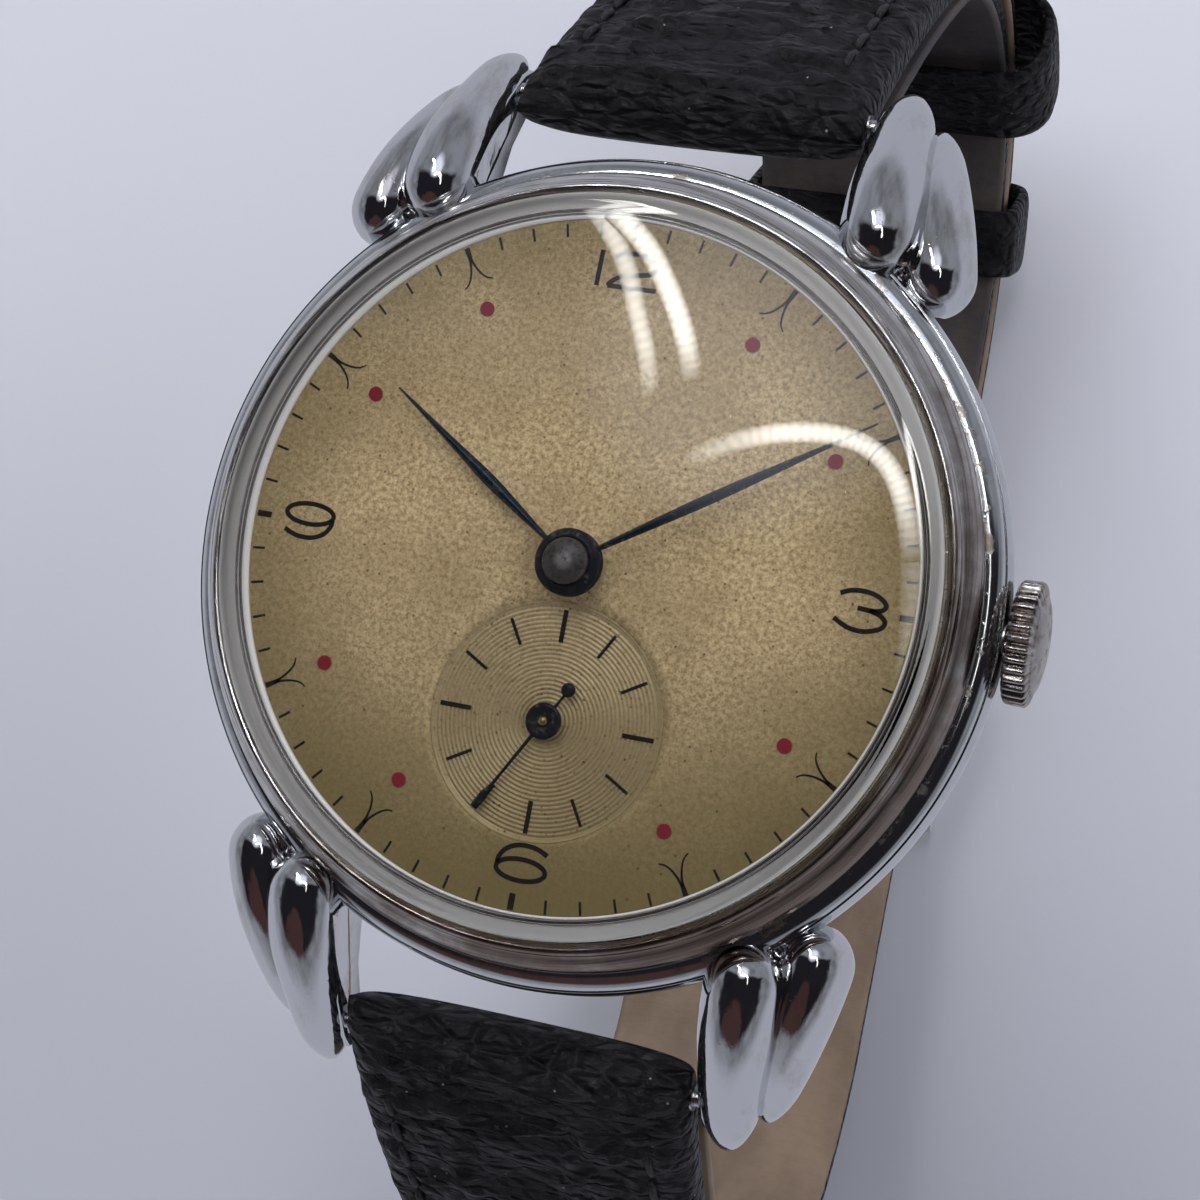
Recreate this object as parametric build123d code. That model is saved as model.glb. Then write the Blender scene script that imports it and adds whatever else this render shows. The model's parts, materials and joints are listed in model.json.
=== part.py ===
"""Manual-wind wristwatch with sub-seconds, on a closed two-piece leather strap.

Millimetres. +Z is up through the dial, +Y points to 12 o'clock and +X to the crown.
The origin is the centre of the case back's outer face.
"""
import os
from math import acos, atan2, cos, degrees, hypot, pi, radians, sin

from build123d import *

# ---- driving dimensions: case ----
CASE_R = 18.0            # mid-case at its widest
CASE_WIDE_Z = 4.2        # height of the widest line
CASE_TOP_Z = 5.4         # shoulder that the bezel sits on
CASE_LOW_Z = 1.5         # seat of the case back
NECK_R = 15.95           # upstanding neck inside the bezel
CAVITY_R = 15.3          # room for the movement and the dial
BACK_BORE_R = 16.15      # bore that the snap-on back enters
BACK_R = 16.7
BACK_FLAT_R = 14.6
BEZEL_R = 17.0
BEZEL_TOP_Z = 7.55
CRYSTAL_R = 15.65
CRYSTAL_WALL = 0.8
CRYSTAL_TOP_Z = 10.1
SLIP = 0.05              # radial clearance between pieces that slide or turn

# ---- dial and hands ----
DIAL_R = 15.2
DIAL_TOP_Z = 6.5
DIAL_THICK = 0.4
SUB_Y = -6.64            # centre of the sub-seconds dial
SUB_R = 5.05
SUB_DEPTH = 0.14
HAND_THICK = 0.12
HOUR_HAND_Z = 7.05
MINUTE_HAND_Z = 7.42
SECONDS_HAND_Z = 6.72
HOUR_HAND_LEN = 10.9
MINUTE_HAND_LEN = 14.0
SECONDS_HAND_LEN = 4.65
SECONDS_TAIL = 1.66
MINUTES_SHOWN = 9.583    # ten past ten, as stored
SECONDS_SHOWN = 35.0
HUB_R = 1.42

# ---- lugs, spring bars and strap ----
LUG_FLANK_X = 8.15       # flat inner face of each lug
BAR_Y = 21.2
BAR_Z = 1.3
BAR_R = 0.75
BAR_PIVOT_R = 0.4
STRAP_W = 15.8
STRAP_W_REAR = 14.6
STRAP_THICK = 3.4        # padded end beside the lugs
STRAP_THIN = 2.2
TAIL_THICK = 2.0
FLOOR_Z = -48.5          # lowest line of the closed strap

# ---- crown and stem ----
STEM_Z = 4.0
STEM_R = 0.45
CROWN_R = 2.6
CROWN_IN_X = 18.08
CROWN_OUT_X = 19.65
CROWN_RECESS_X = 18.8      # floor of the crown's hollow
STEM_END_X = 19.35
CROWN_FLUTES = 34
FLUTE_R = 0.18
CROWN_PULL = 0.9

# ---- movement ----
PLATE_R = 13.5
PLATE_Z = (4.2, 5.4)
BRIDGE_Z = (1.2, 1.95)
PIVOT_R = 0.12
CENTRE_ARBOR_R = 0.35
CENTRE_TEETH, THIRD_LEAVES, CENTRE_M = 64, 8, 0.12
THIRD_TEETH, FOURTH_LEAVES, THIRD_M = 60, 8, 0.11
FOURTH_TEETH, ESCAPE_LEAVES, FOURTH_M = 60, 6, 0.10
BARREL_TEETH, CENTRE_LEAVES, BARREL_M = 84, 12, 0.14
CANNON_TEETH, MINUTE_TEETH, MINUTE_M = 12, 36, 0.125
MINUTE_LEAVES, HOUR_TEETH, HOUR_M = 12, 48, 0.10
SETTING_TEETH = 20
ESCAPE_TEETH = 15
CROWN_WHEEL_TEETH, RATCHET_TEETH = 26, 52
CROWN_HUB_R = 1.2


# ---------------------------------------------------------------- helpers
def save(node, *solids):
    """Write one sub-part; several solids stay separate inside it."""
    parts = []
    for shape in solids:
        parts.extend(shape.solids())
    export_step(Compound(children=parts) if len(parts) > 1 else parts[0], f"parts/{node}.step")


def disc(radius, low, high, x=0.0, y=0.0):
    """Upright cylinder between two heights."""
    return Pos(x, y, (low + high) / 2) * Cylinder(radius, high - low)


def ring(outer, inner, low, high, x=0.0, y=0.0):
    return disc(outer, low, high, x, y) - disc(inner, low - 1, high + 1, x, y)


def rod_x(radius, x_low, x_high, y=0.0, z=0.0):
    """Cylinder that lies along X."""
    return Pos((x_low + x_high) / 2, y, z) * Rot(0, 90, 0) * Cylinder(radius, x_high - x_low)


def block(x_low, x_high, y_low, y_high, z_low, z_high):
    size = (x_high - x_low, y_high - y_low, z_high - z_low)
    return Pos((x_low + x_high) / 2, (y_low + y_high) / 2, (z_low + z_high) / 2) * Box(*size)


def turned(start, *steps):
    """Solid of revolution about Z. A step is (r, z) for a line or (mid r, mid z, r, z) for an arc."""
    edges = []
    here = start
    for step in steps:
        end = step[-2:]
        if len(step) == 2:
            edges.append(Line((here[0], 0, here[1]), (end[0], 0, end[1])))
        else:
            middle = (step[0], 0, step[1])
            edges.append(ThreePointArc((here[0], 0, here[1]), middle, (end[0], 0, end[1])))
        here = end
    edges.append(Line((here[0], 0, here[1]), (start[0], 0, start[1])))
    return revolve(make_face(Wire(edges).edges()), Axis.Z)


def cap_middle(radius, rim, top):
    """Point halfway along the arc of a spherical cap, from its rim to its top on the axis."""
    ball = (radius ** 2 + (top - rim) ** 2) / (2 * (top - rim))
    return radius / 2, top - ball + (ball ** 2 - (radius / 2) ** 2) ** 0.5


def plate(points, low, high):
    """Flat piece with a straight-sided outline."""
    outline = make_face(Polyline(*[(x, y, low) for x, y in points], close=True).edges())
    return extrude(outline, high - low, dir=(0, 0, 1))


def finger(x1, y1, r1, x2, y2, r2, low, high):
    """Tapered flat finger: two round ends joined by their outer tangents."""
    length = hypot(x2 - x1, y2 - y1)
    along = atan2(y2 - y1, x2 - x1)
    side = acos((r1 - r2) / length)
    a1, a2 = along + side, along - side
    quad = [(x1 + r1 * cos(a1), y1 + r1 * sin(a1)), (x2 + r2 * cos(a1), y2 + r2 * sin(a1)),
            (x2 + r2 * cos(a2), y2 + r2 * sin(a2)), (x1 + r1 * cos(a2), y1 + r1 * sin(a2))]
    return plate(quad, low, high) + disc(r1, low, high, x1, y1) + disc(r2, low, high, x2, y2)


def polar(x, y, radius, angle):
    return x + radius * cos(angle), y + radius * sin(angle)


def gear(teeth, module, low, high, at=(0, 0), phase=0.0, bore=0.0, windows=0, hub_r=0.7):
    """Straight-flanked wheel. The first tooth points along phase; teeth are a third of the pitch."""
    x, y = at
    pitch_r = teeth * module / 2
    tip_r = pitch_r + 0.8 * module
    root_r = pitch_r - 1.2 * module
    step = 2 * pi / teeth
    points = []
    for k in range(teeth):
        middle = phase + k * step
        for share, radius in ((-0.22, root_r), (-0.11, tip_r), (0.11, tip_r), (0.22, root_r)):
            points.append(polar(x, y, radius, middle + share * step))
    wheel = plate(points, low, high)
    for k in range(windows):
        wheel -= window(x, y, hub_r, root_r - 3 * module, 2 * pi * k / windows, 2 * pi / windows, low, high)
    if bore:
        wheel -= disc(bore, low - 1, high + 1, x, y)
    return wheel


def window(x, y, inner, outer, start, span, low, high):
    """Opening between two crossings of a wheel."""
    inset = 0.34 * span
    arm = 0.12 * span
    count = 5
    points = [polar(x, y, outer, start + arm + (span - 2 * arm) * k / count) for k in range(count + 1)]
    points += [polar(x, y, inner, start + span - inset), polar(x, y, inner, start + inset)]
    return plate(points, low - 1, high + 1)


def meshed(phase, teeth, direction, other_teeth):
    """Phase of a wheel whose gaps receive the teeth of the wheel that lies opposite to direction."""
    behind = ((direction - phase) / (2 * pi / teeth)) % 1.0
    return direction + pi + (behind + 0.5) * 2 * pi / other_teeth


def towards(a, b):
    return atan2(b[1] - a[1], b[0] - a[0])


def beyond(a, angle, distance):
    return polar(a[0], a[1], distance, angle)


def third_corner(a, reach_a, b, reach_b):
    """Point at the two stated distances from a and b, to the right of the way from a to b."""
    base = hypot(b[0] - a[0], b[1] - a[1])
    turn = acos((reach_a ** 2 + base ** 2 - reach_b ** 2) / (2 * reach_a * base))
    return beyond(a, towards(a, b) + turn, reach_a)


# ---------------------------------------------------------------- layout of the movement
CENTRE = (0.0, 0.0)
FOURTH = (0.0, SUB_Y)
THIRD = third_corner(CENTRE, (CENTRE_TEETH + THIRD_LEAVES) * CENTRE_M / 2,
                     FOURTH, (THIRD_TEETH + FOURTH_LEAVES) * THIRD_M / 2)
ESCAPE = beyond(FOURTH, radians(200), (FOURTH_TEETH + ESCAPE_LEAVES) * FOURTH_M / 2)
BARREL = beyond(CENTRE, radians(60), (BARREL_TEETH + CENTRE_LEAVES) * BARREL_M / 2)
BALANCE = (-7.6, -2.2)
PALLET = beyond(ESCAPE, towards(ESCAPE, BALANCE), 2.9)
MINUTE_WHEEL = beyond(CENTRE, radians(20), (CANNON_TEETH + MINUTE_TEETH) * MINUTE_M / 2)
SETTING_WHEEL = beyond(MINUTE_WHEEL, radians(-10), (MINUTE_TEETH + SETTING_TEETH) * MINUTE_M / 2)
CROWN_WHEEL = (8.75, 0.0)
RATCHET_M = (2 * hypot(BARREL[0] - CROWN_WHEEL[0], BARREL[1] - CROWN_WHEEL[1])
             / (CROWN_WHEEL_TEETH + RATCHET_TEETH))
COCK_FOOT = (-9.6, -7.9)
PALLET_FOOT = (-6.6, -8.8)
BALANCE_R = 4.15
STEM_GROOVE = (11.65, 12.25)
LEVER_PIN = (11.95, 0.0)
LEVER_PIVOT = (LEVER_PIN[0] + CROWN_PULL / 2, -2.2)
YOKE_TIP = (8.95, 0.9)
YOKE_PIVOT = (8.7, 3.7)
BRIDGE_SCREWS = [(-4.5, 11.2), (11.0, 6.0), (5.6, -10.6), (-1.0, -11.9), (7.4, -3.6)]
CASE_SCREWS = [(-12.6, 6.6), (12.6, -6.6)]
DIAL_FEET = [(9.0, 9.0), (-9.0, 8.0)]


# ---------------------------------------------------------------- case
def case_hole(radius):
    return rod_x(radius, 12, 22, 0, STEM_Z)


def case_blank():
    """Outside of the mid-case without its bores."""
    return turned((0, CASE_LOW_Z), (16.95, CASE_LOW_Z), (17.75, 2.6, CASE_R, CASE_WIDE_Z),
                  (17.85, 4.95, 17.35, CASE_TOP_Z), (NECK_R, CASE_TOP_Z), (NECK_R, 6.4), (0, 6.4))


def mid_case():
    body = case_blank() - disc(CAVITY_R, 0, 9) - disc(BACK_BORE_R, 0, 2.45)
    return body - case_hole(0.95)


def case_back():
    """Snap-on back: flat outside, rolled edge, and a rim that enters the mid-case."""
    return turned((0, 0), (BACK_FLAT_R, 0), (16.2, 0.35, BACK_R, 1.1), (BACK_R, CASE_LOW_Z - 0.02),
                  (BACK_BORE_R - SLIP, CASE_LOW_Z - 0.02), (BACK_BORE_R - SLIP, 2.3), (15.4, 2.3),
                  (15.4, 0.8), (0, 0.8))


def bezel():
    """Polished ring with a raised inner bead."""
    return turned((NECK_R + 0.02, CASE_TOP_Z + 0.02), (BEZEL_R, CASE_TOP_Z + 0.02),
                  (17.0, 6.15, 16.55, 6.75), (16.3, 7.05), (16.1, BEZEL_TOP_Z, 15.85, 7.2),
                  (CRYSTAL_R + 0.05, 6.9), (CRYSTAL_R + 0.05, 6.46), (NECK_R + 0.02, 6.46))


def crystal():
    """Domed acrylic with an upright edge."""
    inner = CRYSTAL_R - CRYSTAL_WALL
    shoulder = CRYSTAL_R - 0.6
    under = CRYSTAL_TOP_Z - CRYSTAL_WALL
    return turned((inner, DIAL_TOP_Z + 0.02), (CRYSTAL_R, DIAL_TOP_Z + 0.02), (CRYSTAL_R, 7.75),
                  (CRYSTAL_R - 0.15, 8.13, shoulder, 8.3),
                  cap_middle(shoulder, 8.3, CRYSTAL_TOP_Z) + (0, CRYSTAL_TOP_Z),
                  (0, under), cap_middle(inner - 0.4, 7.5, under) + (inner - 0.4, 7.5), (inner, 7.1))


def casing_ring():
    body = ring(CAVITY_R - SLIP, PLATE_R + SLIP, 2.4, 5.9) - case_hole(1.3)
    for x, y in CASE_SCREWS:
        body -= disc(1.0, 0, 3.0, x, y)
    return body


LOBES = {
    # along Y, across X, height, half width, half height
    "inner": [(14.25, 9.95, 4.45, 0.55, 0.6), (14.85, 9.95, 4.45, 1.2, 1.3), (16.2, 9.88, 4.25, 1.7, 1.85),
              (18.0, 9.75, 3.5, 1.62, 1.8), (20.0, 9.57, 2.05, 1.35, 1.55), (21.7, 9.45, 0.55, 1.05, 1.2),
              (22.95, 9.3, -0.6, 0.45, 0.6)],
    "outer": [(13.05, 12.65, 3.8, 0.5, 0.55), (13.6, 12.6, 3.85, 1.15, 1.3), (15.0, 12.4, 3.7, 1.5, 1.7),
              (16.7, 12.05, 3.1, 1.45, 1.65), (18.6, 11.6, 2.0, 1.2, 1.4), (20.2, 11.2, 0.85, 0.85, 1.0),
              (21.4, 10.9, 0.0, 0.4, 0.5)],
}


def lobe(stations):
    """One teardrop, lofted along its bent axis."""
    sections = []
    for k, (y, x, z, half_w, half_h) in enumerate(stations):
        before = stations[max(k - 1, 0)]
        after = stations[min(k + 1, len(stations) - 1)]
        along = Vector(after[1] - before[1], after[0] - before[0], after[2] - before[2])
        here = Plane(origin=(x, y, z), x_dir=Vector(along.Y, -along.X, 0), z_dir=along)
        sections.append(here * Ellipse(half_w, half_h))
    return loft(sections)


def lug(side, end):
    """Two teardrops side by side on a web; side is +1 at the crown, end is +1 at 12 o'clock."""
    pair = lobe(LOBES["inner"]) + lobe(LOBES["outer"])
    web = extrude(Plane.YZ.offset(LUG_FLANK_X) * make_face(
        Polyline((14.6, 1.9), (14.6, 4.4), (16.6, 5.3), (18.4, 4.3), (20.4, 2.9), (22.1, 1.3), (22.7, 0.0),
                 (21.9, -0.5), (20.4, 0.0), (18.6, 1.2), (16.6, 1.7), close=True).edges()), 1.6)
    saddle = block(LUG_FLANK_X, 12.6, 12.0, 17.2, 2.3, 4.2)
    body = pair + web + saddle
    body &= block(LUG_FLANK_X, 20, 5, 30, -5, 12)
    body -= case_blank()
    body -= disc(BEZEL_R + 0.04, CASE_TOP_Z, 9)
    body -= disc(BACK_R + 0.04, -1, CASE_LOW_Z)
    body -= rod_x(BAR_PIVOT_R + SLIP, LUG_FLANK_X - 1, LUG_FLANK_X + 1.1, BAR_Y, BAR_Z)
    body = max(body.solids(), key=lambda s: s.volume)
    if side < 0:
        body = mirror(body, Plane.YZ)
    if end < 0:
        body = mirror(body, Plane.XZ)
    return body


def spring_bar(end):
    """Telescoping bar with a shoulder and a thin pivot at each end."""
    y = end * BAR_Y
    body = rod_x(BAR_R, -7.75, 7.75, y, BAR_Z)
    body += rod_x(0.6, -7.95, 7.95, y, BAR_Z)
    return body + rod_x(BAR_PIVOT_R, -9.0, 9.0, y, BAR_Z)


# ---------------------------------------------------------------- dial and hands
def dial():
    low = DIAL_TOP_Z - DIAL_THICK
    body = disc(DIAL_R, low, DIAL_TOP_Z)
    body -= disc(SUB_R, DIAL_TOP_Z - SUB_DEPTH, 9, 0, SUB_Y)
    body -= disc(1.05, 0, 9)
    body -= disc(0.28, 0, 9, 0, SUB_Y)
    for x, y in DIAL_FEET:
        body += disc(0.35, 4.6, low, x, y)
    return body


def arc_points(x, y, radius_x, radius_y, start, end, count):
    """Points along part of an ellipse, angles in degrees."""
    turns = [radians(start + (end - start) * k / count) for k in range(count + 1)]
    return [(x + radius_x * cos(t), y + radius_y * sin(t)) for t in turns]


SIX = arc_points(0.15, 0.05, 0.65, 0.45, 75, 180, 4) + arc_points(0.0, -0.2, 0.5, 0.3, 180, 540, 10)
NUMERALS = {
    # polylines in a box one unit wide and one high
    "1": [[(0.0, -0.5), (0.0, 0.5), (-0.22, 0.3)]],
    "2": [arc_points(0.0, 0.2, 0.5, 0.3, 165, -20, 6) + [(-0.5, -0.5), (0.52, -0.5)]],
    "3": [arc_points(0.05, 0.25, 0.45, 0.25, 150, -90, 7), arc_points(0.05, -0.25, 0.45, 0.25, 90, -150, 7)],
    "6": [SIX],
    "9": [[(-x, -y) for x, y in SIX]],
}
DIAL_FIGURES = [("1", -1.35, 12.5, 0.9), ("2", 0.25, 12.5, 1.6), ("3", 12.2, 0.0, 2.1),
                ("6", 0.1, -12.65, 2.1), ("9", -12.1, 0.1, 2.1)]
FIGURE_HIGH = 1.85
PRINT_THICK = 0.02


def dial_print():
    """Printed 12, 3, 6 and 9 and sixty minute strokes, a hair proud of the dial."""
    top = DIAL_TOP_Z + PRINT_THICK
    shapes = []
    for text, x, y, wide in DIAL_FIGURES:
        for line in NUMERALS[text]:
            dots = [(x + wide * u, y + FIGURE_HIGH * v) for u, v in line]
            pieces = [finger(*a, 0.08, *b, 0.08, DIAL_TOP_Z, top) for a, b in zip(dots, dots[1:])]
            shapes.append(pieces[0].fuse(*pieces[1:]) if len(pieces) > 1 else pieces[0])
    shapes = [shapes[0].fuse(*shapes[1:])]
    for minute in range(60):
        quarter = minute % 15 == 0
        inner = 13.75 if quarter else 13.95
        half = 0.11 if quarter else 0.05
        stroke = block(inner, 14.5, -half, half, DIAL_TOP_Z, top)
        shapes.append(Rot(0, 0, 90 - 6 * minute) * stroke)
    return shapes


def hand_angle(turns):
    """Direction in the XY plane of a hand that has made these turns past 12 o'clock."""
    return pi / 2 - 2 * pi * turns


def leaf(length, half_width, root, low):
    """Slim leaf blade that points along +X."""
    points = [(root, 0.28), (length * 0.35, half_width), (length * 0.75, half_width * 0.55), (length, 0.06),
              (length, -0.06), (length * 0.75, -half_width * 0.55), (length * 0.35, -half_width),
              (root, -0.28)]
    return plate(points, low, low + HAND_THICK)


def hour_hand():
    turns = (10 + MINUTES_SHOWN / 60) / 12
    body = leaf(HOUR_HAND_LEN, 0.36, 1.0, HOUR_HAND_Z) + disc(1.3, HOUR_HAND_Z, HOUR_HAND_Z + 0.16)
    return Rot(0, 0, degrees(hand_angle(turns))) * (body - disc(0.95, 5, 9))


def minute_hand():
    body = leaf(MINUTE_HAND_LEN, 0.36, 1.0, MINUTE_HAND_Z)
    boss = turned((0.6, MINUTE_HAND_Z), (HUB_R, MINUTE_HAND_Z), (HUB_R, MINUTE_HAND_Z + 0.12),
                  (1.2, 7.72, 0.85, 7.8), (0.6, 7.8))
    body = (body - disc(1.1, 5, 9)) + boss
    return Rot(0, 0, degrees(hand_angle(MINUTES_SHOWN / 60))) * body


def seconds_hand():
    """Ring hub, tapered blade that widens at its tip, and a small ball at the other end."""
    low, high = SECONDS_HAND_Z, SECONDS_HAND_Z + 0.1
    blade = plate([(0.5, 0.07), (SECONDS_HAND_LEN - 1.2, 0.09), (SECONDS_HAND_LEN, 0.17),
                   (SECONDS_HAND_LEN, -0.17), (SECONDS_HAND_LEN - 1.2, -0.09), (0.5, -0.07)], low, high)
    tail = block(-SECONDS_TAIL, -0.5, -0.07, 0.07, low, high)
    body = blade + tail + disc(0.31, low, high, -SECONDS_TAIL) + disc(0.8, low, high + 0.08)
    body -= disc(0.14, 5, 9)
    turn = degrees(hand_angle(SECONDS_SHOWN / 60))
    return Pos(0, SUB_Y, 0) * Rot(0, 0, turn) * body


# ---------------------------------------------------------------- going train
def arbor(at, low, high, pivot_low, pivot_high, radius=0.25):
    body = disc(radius, low, high, *at)
    return body + disc(PIVOT_R, pivot_low, pivot_high, *at)


CENTRE_PHASE = towards(CENTRE, THIRD)
THIRD_PHASE = towards(THIRD, FOURTH)
FOURTH_PHASE = towards(FOURTH, ESCAPE)
BARREL_PHASE = towards(BARREL, CENTRE)
CANNON_PHASE = towards(CENTRE, MINUTE_WHEEL)
MINUTE_PHASE = meshed(CANNON_PHASE, CANNON_TEETH, CANNON_PHASE, MINUTE_TEETH)


def centre_wheel():
    wheel = gear(CENTRE_TEETH, CENTRE_M, 3.6, 3.85, CENTRE, CENTRE_PHASE, windows=5)
    leaves = gear(CENTRE_LEAVES, BARREL_M, 2.72, 3.5, CENTRE,
                  meshed(BARREL_PHASE, BARREL_TEETH, BARREL_PHASE, CENTRE_LEAVES))
    return wheel + leaves + disc(CENTRE_ARBOR_R, 1.2, 8.0) + disc(0.6, 3.5, 4.15)


def cannon_pinion():
    """Tube that is a friction fit on the centre arbor and carries the minute hand."""
    tube = ring(0.6, CENTRE_ARBOR_R, 5.45, 7.85)
    teeth = gear(CANNON_TEETH, MINUTE_M, 5.45, 5.68, CENTRE, CANNON_PHASE, bore=CENTRE_ARBOR_R)
    return tube + teeth


def third_wheel():
    wheel = gear(THIRD_TEETH, THIRD_M, 2.3, 2.5, THIRD, THIRD_PHASE, windows=5)
    leaves = gear(THIRD_LEAVES, CENTRE_M, 3.5, 4.0, THIRD,
                  meshed(CENTRE_PHASE, CENTRE_TEETH, CENTRE_PHASE, THIRD_LEAVES))
    return wheel + leaves + arbor(THIRD, 2.1, 4.05, 1.25, 5.2)


def fourth_wheel():
    """Turns once a minute; its long front pivot carries the seconds hand."""
    wheel = gear(FOURTH_TEETH, FOURTH_M, 2.95, 3.13, FOURTH, FOURTH_PHASE, windows=5)
    leaves = gear(FOURTH_LEAVES, THIRD_M, 2.15, 2.65, FOURTH,
                  meshed(THIRD_PHASE, THIRD_TEETH, THIRD_PHASE, FOURTH_LEAVES))
    return wheel + leaves + arbor(FOURTH, 2.1, 4.05, 1.25, 6.92)


def escape_wheel():
    """Fifteen hooked teeth on a six-leaf pinion."""
    points = []
    for k in range(ESCAPE_TEETH):
        a = 2 * pi * k / ESCAPE_TEETH
        points += [polar(*ESCAPE, 1.55, a), polar(*ESCAPE, 2.0, a + 0.18), polar(*ESCAPE, 2.0, a + 0.24),
                   polar(*ESCAPE, 1.55, a + 0.2)]
    wheel = plate(points, 3.3, 3.45)
    for k in range(4):
        wheel -= window(*ESCAPE, 0.6, 1.3, 2 * pi * k / 4, 2 * pi / 4, 3.3, 3.45)
    leaves = gear(ESCAPE_LEAVES, FOURTH_M, 2.85, 3.25, ESCAPE,
                  meshed(FOURTH_PHASE, FOURTH_TEETH, FOURTH_PHASE, ESCAPE_LEAVES))
    return wheel + leaves + arbor(ESCAPE, 2.1, 4.05, 1.25, 5.2, 0.18)


def barrel():
    drum = gear(BARREL_TEETH, BARREL_M, 2.95, 3.35, BARREL, BARREL_PHASE)
    drum += disc(5.55, 2.45, 3.45, *BARREL)
    drum -= disc(5.3, 2.3, 3.25, *BARREL)
    return drum - disc(0.55, 2, 4, *BARREL)


def barrel_cover():
    return ring(5.3, 0.55, 2.47, 2.62, *BARREL)


def barrel_arbor():
    body = disc(1.15, 2.66, 3.2, *BARREL) + disc(0.5, 0.92, 4.15, *BARREL)
    return body + disc(0.35, 4.1, 5.2, *BARREL)


def ratchet_screw():
    return disc(0.95, 0.84, 0.92, *BARREL) - block(-9, 9, BARREL[1] - 0.08, BARREL[1] + 0.08, 0.8, 0.88)


def mainspring():
    """Flat strip that coils from the arbor to the drum."""
    turns, strip = 6.5, 0.14
    steps = int(turns * 20)
    outer, inner = [], []
    for k in range(steps + 1):
        angle = 2 * pi * turns * k / steps
        radius = 1.35 + (5.1 - 1.35) * k / steps
        outer.append(polar(*BARREL, radius + strip / 2, angle))
        inner.append(polar(*BARREL, radius - strip / 2, angle))
    return plate(outer + inner[::-1], 2.68, 3.2)


# ---------------------------------------------------------------- escapement
def local(origin, angle):
    return Pos(origin[0], origin[1], 0) * Rot(0, 0, degrees(angle))


def pallet_fork():
    """Lever with two arms that stand just clear of the escape wheel, and a notched horn."""
    to_wheel = towards(PALLET, ESCAPE)
    arms = plate([(-0.25, -0.3), (-0.25, 0.3), (0.15, 0.35), (0.9, 1.95), (1.2, 1.85), (0.5, 0.2),
                  (0.5, -0.2),
                  (1.2, -1.85), (0.9, -1.95), (0.15, -0.35)], 3.3, 3.45)
    horn = plate([(-0.2, 0.16), (-3.1, 0.1), (-3.45, 0.32), (-3.6, 0.3), (-3.3, 0.13), (-3.2, 0.0),
                  (-3.3, -0.13), (-3.6, -0.3), (-3.45, -0.32), (-3.1, -0.1), (-0.2, -0.16)], 3.3, 3.45)
    staff = disc(0.16, 3.2, 4.05) + disc(PIVOT_R, 2.9, 5.2)
    return local(PALLET, to_wheel) * (arms + horn + staff)


def pallet_stones():
    to_wheel = towards(PALLET, ESCAPE)
    stones = []
    for sign in (1, -1):
        tip = plate([(1.2, sign * 1.86), (0.9, sign * 1.96), (0.98, sign * 2.12), (1.26, sign * 2.02)],
                    3.28, 3.47)
        stones.append(local(PALLET, to_wheel) * tip)
    return stones


def balance_wheel():
    """Three-armed rim with timing screws, on its staff with the impulse roller."""
    body = ring(BALANCE_R, 3.6, 2.35, 2.75)
    for k in range(3):
        body += Rot(0, 0, 120 * k) * block(0, 3.7, -0.22, 0.22, 2.45, 2.65)
    body += disc(0.55, 2.35, 2.8) + disc(0.2, 2.0, 4.05) + disc(PIVOT_R, 1.3, 5.2)
    body += disc(0.65, 3.5, 3.62) + disc(0.08, 3.3, 3.55, 0.45, 0)
    return local(BALANCE, towards(BALANCE, PALLET)) * body


def hairspring():
    turns, strip = 9, 0.035
    steps = turns * 20
    outer, inner = [], []
    for k in range(steps + 1):
        angle = 2 * pi * turns * k / steps
        radius = 0.45 + 2.2 * k / steps
        outer.append(polar(*BALANCE, radius + strip / 2, angle))
        inner.append(polar(*BALANCE, radius - strip / 2, angle))
    return plate(outer + inner[::-1], 2.02, 2.18)


def regulator():
    """Index lever around the balance pivot, with its curb pin."""
    arm = finger(*BALANCE, 0.75, BALANCE[0] + 2.3, BALANCE[1] + 2.6, 0.25, 1.0, 1.14)
    return arm - disc(0.4, 0, 3, *BALANCE)


# ---------------------------------------------------------------- motion works and keyless works
def minute_wheel():
    wheel = gear(MINUTE_TEETH, MINUTE_M, 5.46, 5.64, MINUTE_WHEEL, MINUTE_PHASE, bore=0.3)
    leaves = gear(MINUTE_LEAVES, HOUR_M, 5.64, 6.0, MINUTE_WHEEL, towards(MINUTE_WHEEL, CENTRE), bore=0.3)
    return wheel + leaves


def hour_wheel():
    direction = towards(MINUTE_WHEEL, CENTRE)
    wheel = gear(HOUR_TEETH, HOUR_M, 5.76, 5.96, CENTRE,
                 meshed(direction, MINUTE_LEAVES, direction, HOUR_TEETH))
    return wheel + disc(0.95, 5.76, 7.24) - disc(0.6 + SLIP, 5, 9)


def setting_wheel():
    direction = towards(MINUTE_WHEEL, SETTING_WHEEL)
    return gear(SETTING_TEETH, MINUTE_M, 5.46, 5.64, SETTING_WHEEL,
                meshed(MINUTE_PHASE, MINUTE_TEETH, direction, SETTING_TEETH), bore=0.3)


def toothed_sleeve(radius, x_low, x_high, teeth, bore):
    """Short pinion along the stem with coarse end teeth."""
    points = []
    for k in range(teeth):
        for share, r in ((-0.25, radius * 0.78), (-0.12, radius), (0.12, radius), (0.25, radius * 0.78)):
            a = 2 * pi * (k + share) / teeth
            points.append((r * cos(a), r * sin(a)))
    outline = Plane.YZ.offset(x_low) * make_face(Polyline(*points, close=True).edges())
    body = Pos(0, 0, STEM_Z) * extrude(outline, x_high - x_low)
    return body - rod_x(bore, x_low - 1, x_high + 1, 0, STEM_Z)


def winding_pinion():
    return toothed_sleeve(0.98, 10.1, 11.5, 12, STEM_R + 0.03)


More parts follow.
